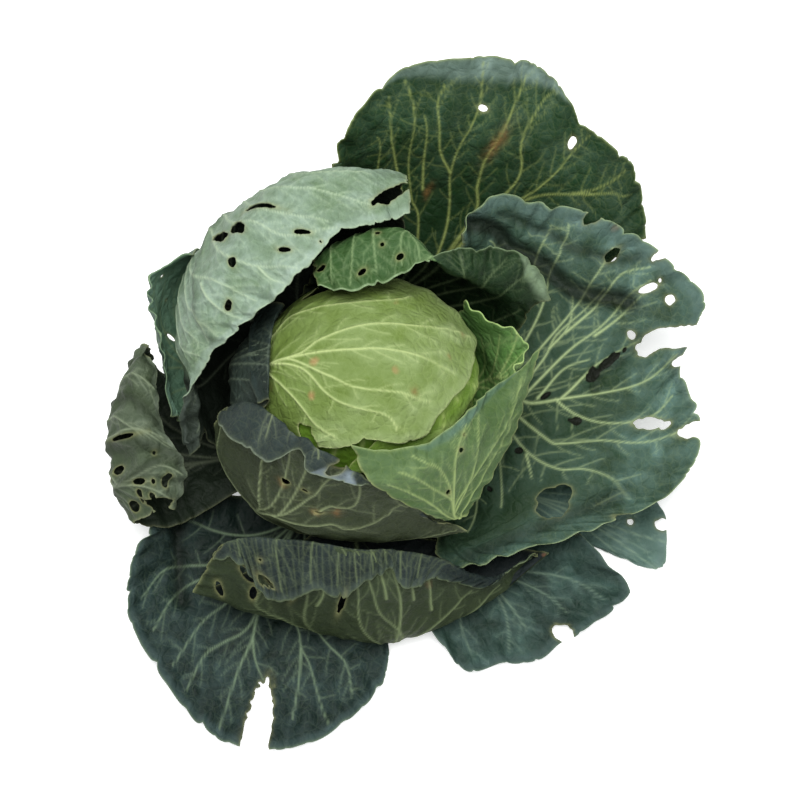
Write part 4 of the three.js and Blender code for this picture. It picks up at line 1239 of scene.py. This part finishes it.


# The look of each leaf. Its tones are those of the upper face and its deeper clouds, of the under face and
# its deeper clouds, of the veins and of the bloom. dust is how strong the bloom is and spots how strong
# the specks are, bloom_and_light_strength and bloom_and_light_band are the strength and tone of the pale
# band along the margin, which is bloom and on the back leaf also painted light, inside is how much of the
# upper face's colour is kept under its painted shade, and shaded holds the places outward between which the
# painted shade of the foot ends.
TONES = {
    "heart_leaf": dict(
        tones=[
            (110, 134, 58), (84, 112, 34), (114, 142, 56), (84, 118, 32), (168, 186, 112), (140, 158, 100),
        ],
        dust=0.2, spots=0.1,
    ),
    "cap_leaf": dict(
        tones=[
            (122, 142, 88), (94, 116, 52), (124, 142, 92), (92, 112, 50), (184, 198, 136), (154, 170, 124),
        ],
        dust=0.25, spots=0.5,
    ),
    "right_inner_leaf": dict(
        tones=[(98, 134, 78), (84, 126, 62), (92, 122, 66), (70, 100, 46), (168, 190, 120), (120, 144, 100)],
        dust=0.25,
    ),
    "left_inner_leaf": dict(
        tones=[(40, 52, 48), (28, 40, 34), (54, 64, 58), (38, 48, 40), (92, 104, 86), (56, 70, 70)],
        inside=0.7,
    ),
    "front_wrap_leaf": dict(
        tones=[(44, 55, 54), (28, 38, 36), (58, 67, 45), (40, 48, 25), (136, 148, 108), (82, 90, 80)],
        dust=0.25, spots=0.6, bloom_and_light_strength=0.8, bloom_and_light_band=rgb(136, 150, 158),
    ),
    "right_wrap_leaf": dict(
        tones=[(84, 108, 92), (62, 86, 68), (86, 108, 66), (60, 84, 42), (158, 176, 112), (116, 136, 100)],
        dust=0.25, bloom_and_light_strength=0.8, bloom_and_light_band=rgb(84, 110, 100),
    ),
    "back_curl_leaf": dict(
        tones=[(22, 56, 26), (14, 40, 13), (54, 82, 44), (40, 68, 26), (132, 154, 108), (68, 100, 62)],
        dust=0.25, bloom_and_light_strength=0.9, bloom_and_light_band=rgb(158, 184, 148), inside=0.5,
    ),
    "left_curl_leaf": dict(
        tones=[(42, 58, 48), (30, 44, 34), (120, 140, 122), (96, 118, 88), (168, 186, 154), (160, 178, 166)],
        dust=0.4, inside=0.25,
    ),
    "right_leaf": dict(
        tones=[(80, 109, 99), (30, 50, 28), (84, 102, 88), (64, 84, 66), (166, 184, 130), (114, 140, 138)],
        shaded=(0.6, 0.86),
    ),
    "front_cup_leaf": dict(
        tones=[(28, 38, 39), (16, 25, 26), (55, 67, 43), (37, 47, 25), (112, 126, 88), (68, 80, 72)],
        spots=0.6,
    ),
    # painted light: the upper face is made far lighter than its tissue, to make up for the shade that it
    # stands in
    "left_stand_leaf": dict(
        tones=[(122, 156, 134), (86, 118, 94), (78, 98, 84), (58, 80, 66), (120, 142, 104), (92, 112, 108)],
    ),
    "left_eaten_leaf": dict(
        tones=[(52, 66, 54), (38, 52, 38), (76, 87, 69), (54, 66, 44), (140, 152, 124), (106, 116, 102)],
        spots=0.4, inside=0.35,
    ),
    # the pale band along its top margin is painted light as well as bloom
    "back_leaf": dict(
        tones=[(32, 60, 37), (19, 43, 18), (76, 98, 78), (58, 82, 56), (138, 150, 84), (128, 150, 142)],
        dust=0.1, bloom_and_light_strength=0.7,
    ),
    "front_right_leaf": dict(
        tones=[(56, 80, 72), (20, 36, 28), (74, 90, 78), (56, 74, 58), (106, 126, 106), (88, 108, 106)],
        spots=0.8,
    ),
    "right_low_leaf": dict(
        tones=[(88, 114, 106), (62, 86, 76), (80, 98, 86), (62, 82, 68), (122, 144, 122), (104, 124, 120)],
        spots=0.5,
    ),
    "front_left_leaf": dict(
        tones=[(27, 43, 40), (13, 25, 20), (66, 82, 74), (50, 66, 56), (118, 138, 108), (84, 106, 105)],
        spots=0.8,
    ),
}


def settle(piece, node, material):
    """Gives a piece its finish, hangs it under the root body and hides the solid that it stands for."""
    piece.data.materials.append(material)
    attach(piece, "root")
    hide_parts(node)


def plain_surface(name, colour, roughness, glow):
    """A plain matt surface that gives off a little light of its own, so that shadows on it stay pale."""
    material, _, shader = blank_skin(name)
    shader.inputs["Base Color"].default_value = colour
    shader.inputs["Roughness"].default_value = roughness
    shader.inputs["Emission Color"].default_value = (1, 1, 1, 1)
    shader.inputs["Emission Strength"].default_value = glow
    return material


def studio():
    """A plain pale floor, a soft key light from above, a weak fill from the front right, and the camera."""
    floor = mesh_piece("floor", np.array([[-4, -4, 0], [4, -4, 0], [4, 4, 0], [-4, 4, 0]], float),
                       np.array([[0, 1, 2, 3]]), {})
    floor.data.materials.append(plain_surface("pale_floor", (0.92, 0.92, 0.92, 1), 0.9, 0.42))
    world = bpy.context.scene.world or bpy.data.worlds.new("studio_air")
    bpy.context.scene.world = world
    world.use_nodes = True
    background = world.node_tree.nodes["Background"]
    background.inputs["Color"].default_value = (0.97, 0.99, 1.0, 1)
    background.inputs["Strength"].default_value = 0.44
    middle = np.array(VIEW_CENTRE)
    for name, place, size, power in (
        ("key_light", (-0.1, 0.12, 1.66), 1.4, 34),
        ("fill_light", (0.7, -1.1, 1.2), 1.2, 7),
    ):
        light = bpy.data.lights.new(name, "AREA")
        light.shape = "DISK"
        light.size = size
        light.energy = power
        lamp = bpy.data.objects.new(name, light)
        lamp.location = place
        lamp.rotation_euler = aim(np.array(place) - middle)
        bpy.context.scene.collection.objects.link(lamp)
    lens = bpy.data.cameras.new("camera")
    lens.lens = LENS
    lens.sensor_width = SENSOR
    lens.shift_x = (PICTURE / 2 - CENTRE_PIXEL[0]) / PICTURE
    lens.shift_y = (CENTRE_PIXEL[1] - PICTURE / 2) / PICTURE
    toward = np.array([0, -math.cos(VIEW_HEIGHT), math.sin(VIEW_HEIGHT)])
    camera = bpy.data.objects.new("camera", lens)
    camera.location = middle + VIEW_DISTANCE * toward
    camera.rotation_euler = aim(toward)
    bpy.context.scene.collection.objects.link(camera)
    bpy.context.scene.camera = camera
    bpy.context.scene.view_settings.view_transform = "Standard"


def aim(away):
    """The turn that makes a lamp or camera look back along a direction."""
    flat = math.hypot(away[0], away[1])
    return (math.atan2(flat, away[2]), 0, math.atan2(away[1], away[0]) + math.pi / 2)


for order, (node_name, leaf_shape) in enumerate(LEAVES.items()):
    skin = leaf_skin(node_name + "_skin", **TONES[node_name])
    for blade in leaf_pieces(node_name + "_blade", leaf_shape, 100 * (order + 1)):
        settle(blade, node_name, skin)
settle(heart_piece(), "heart", leaf_skin("heart_skin", **TONES["heart_leaf"]))
settle(stump_piece(), "stem", stump_skin())
studio()
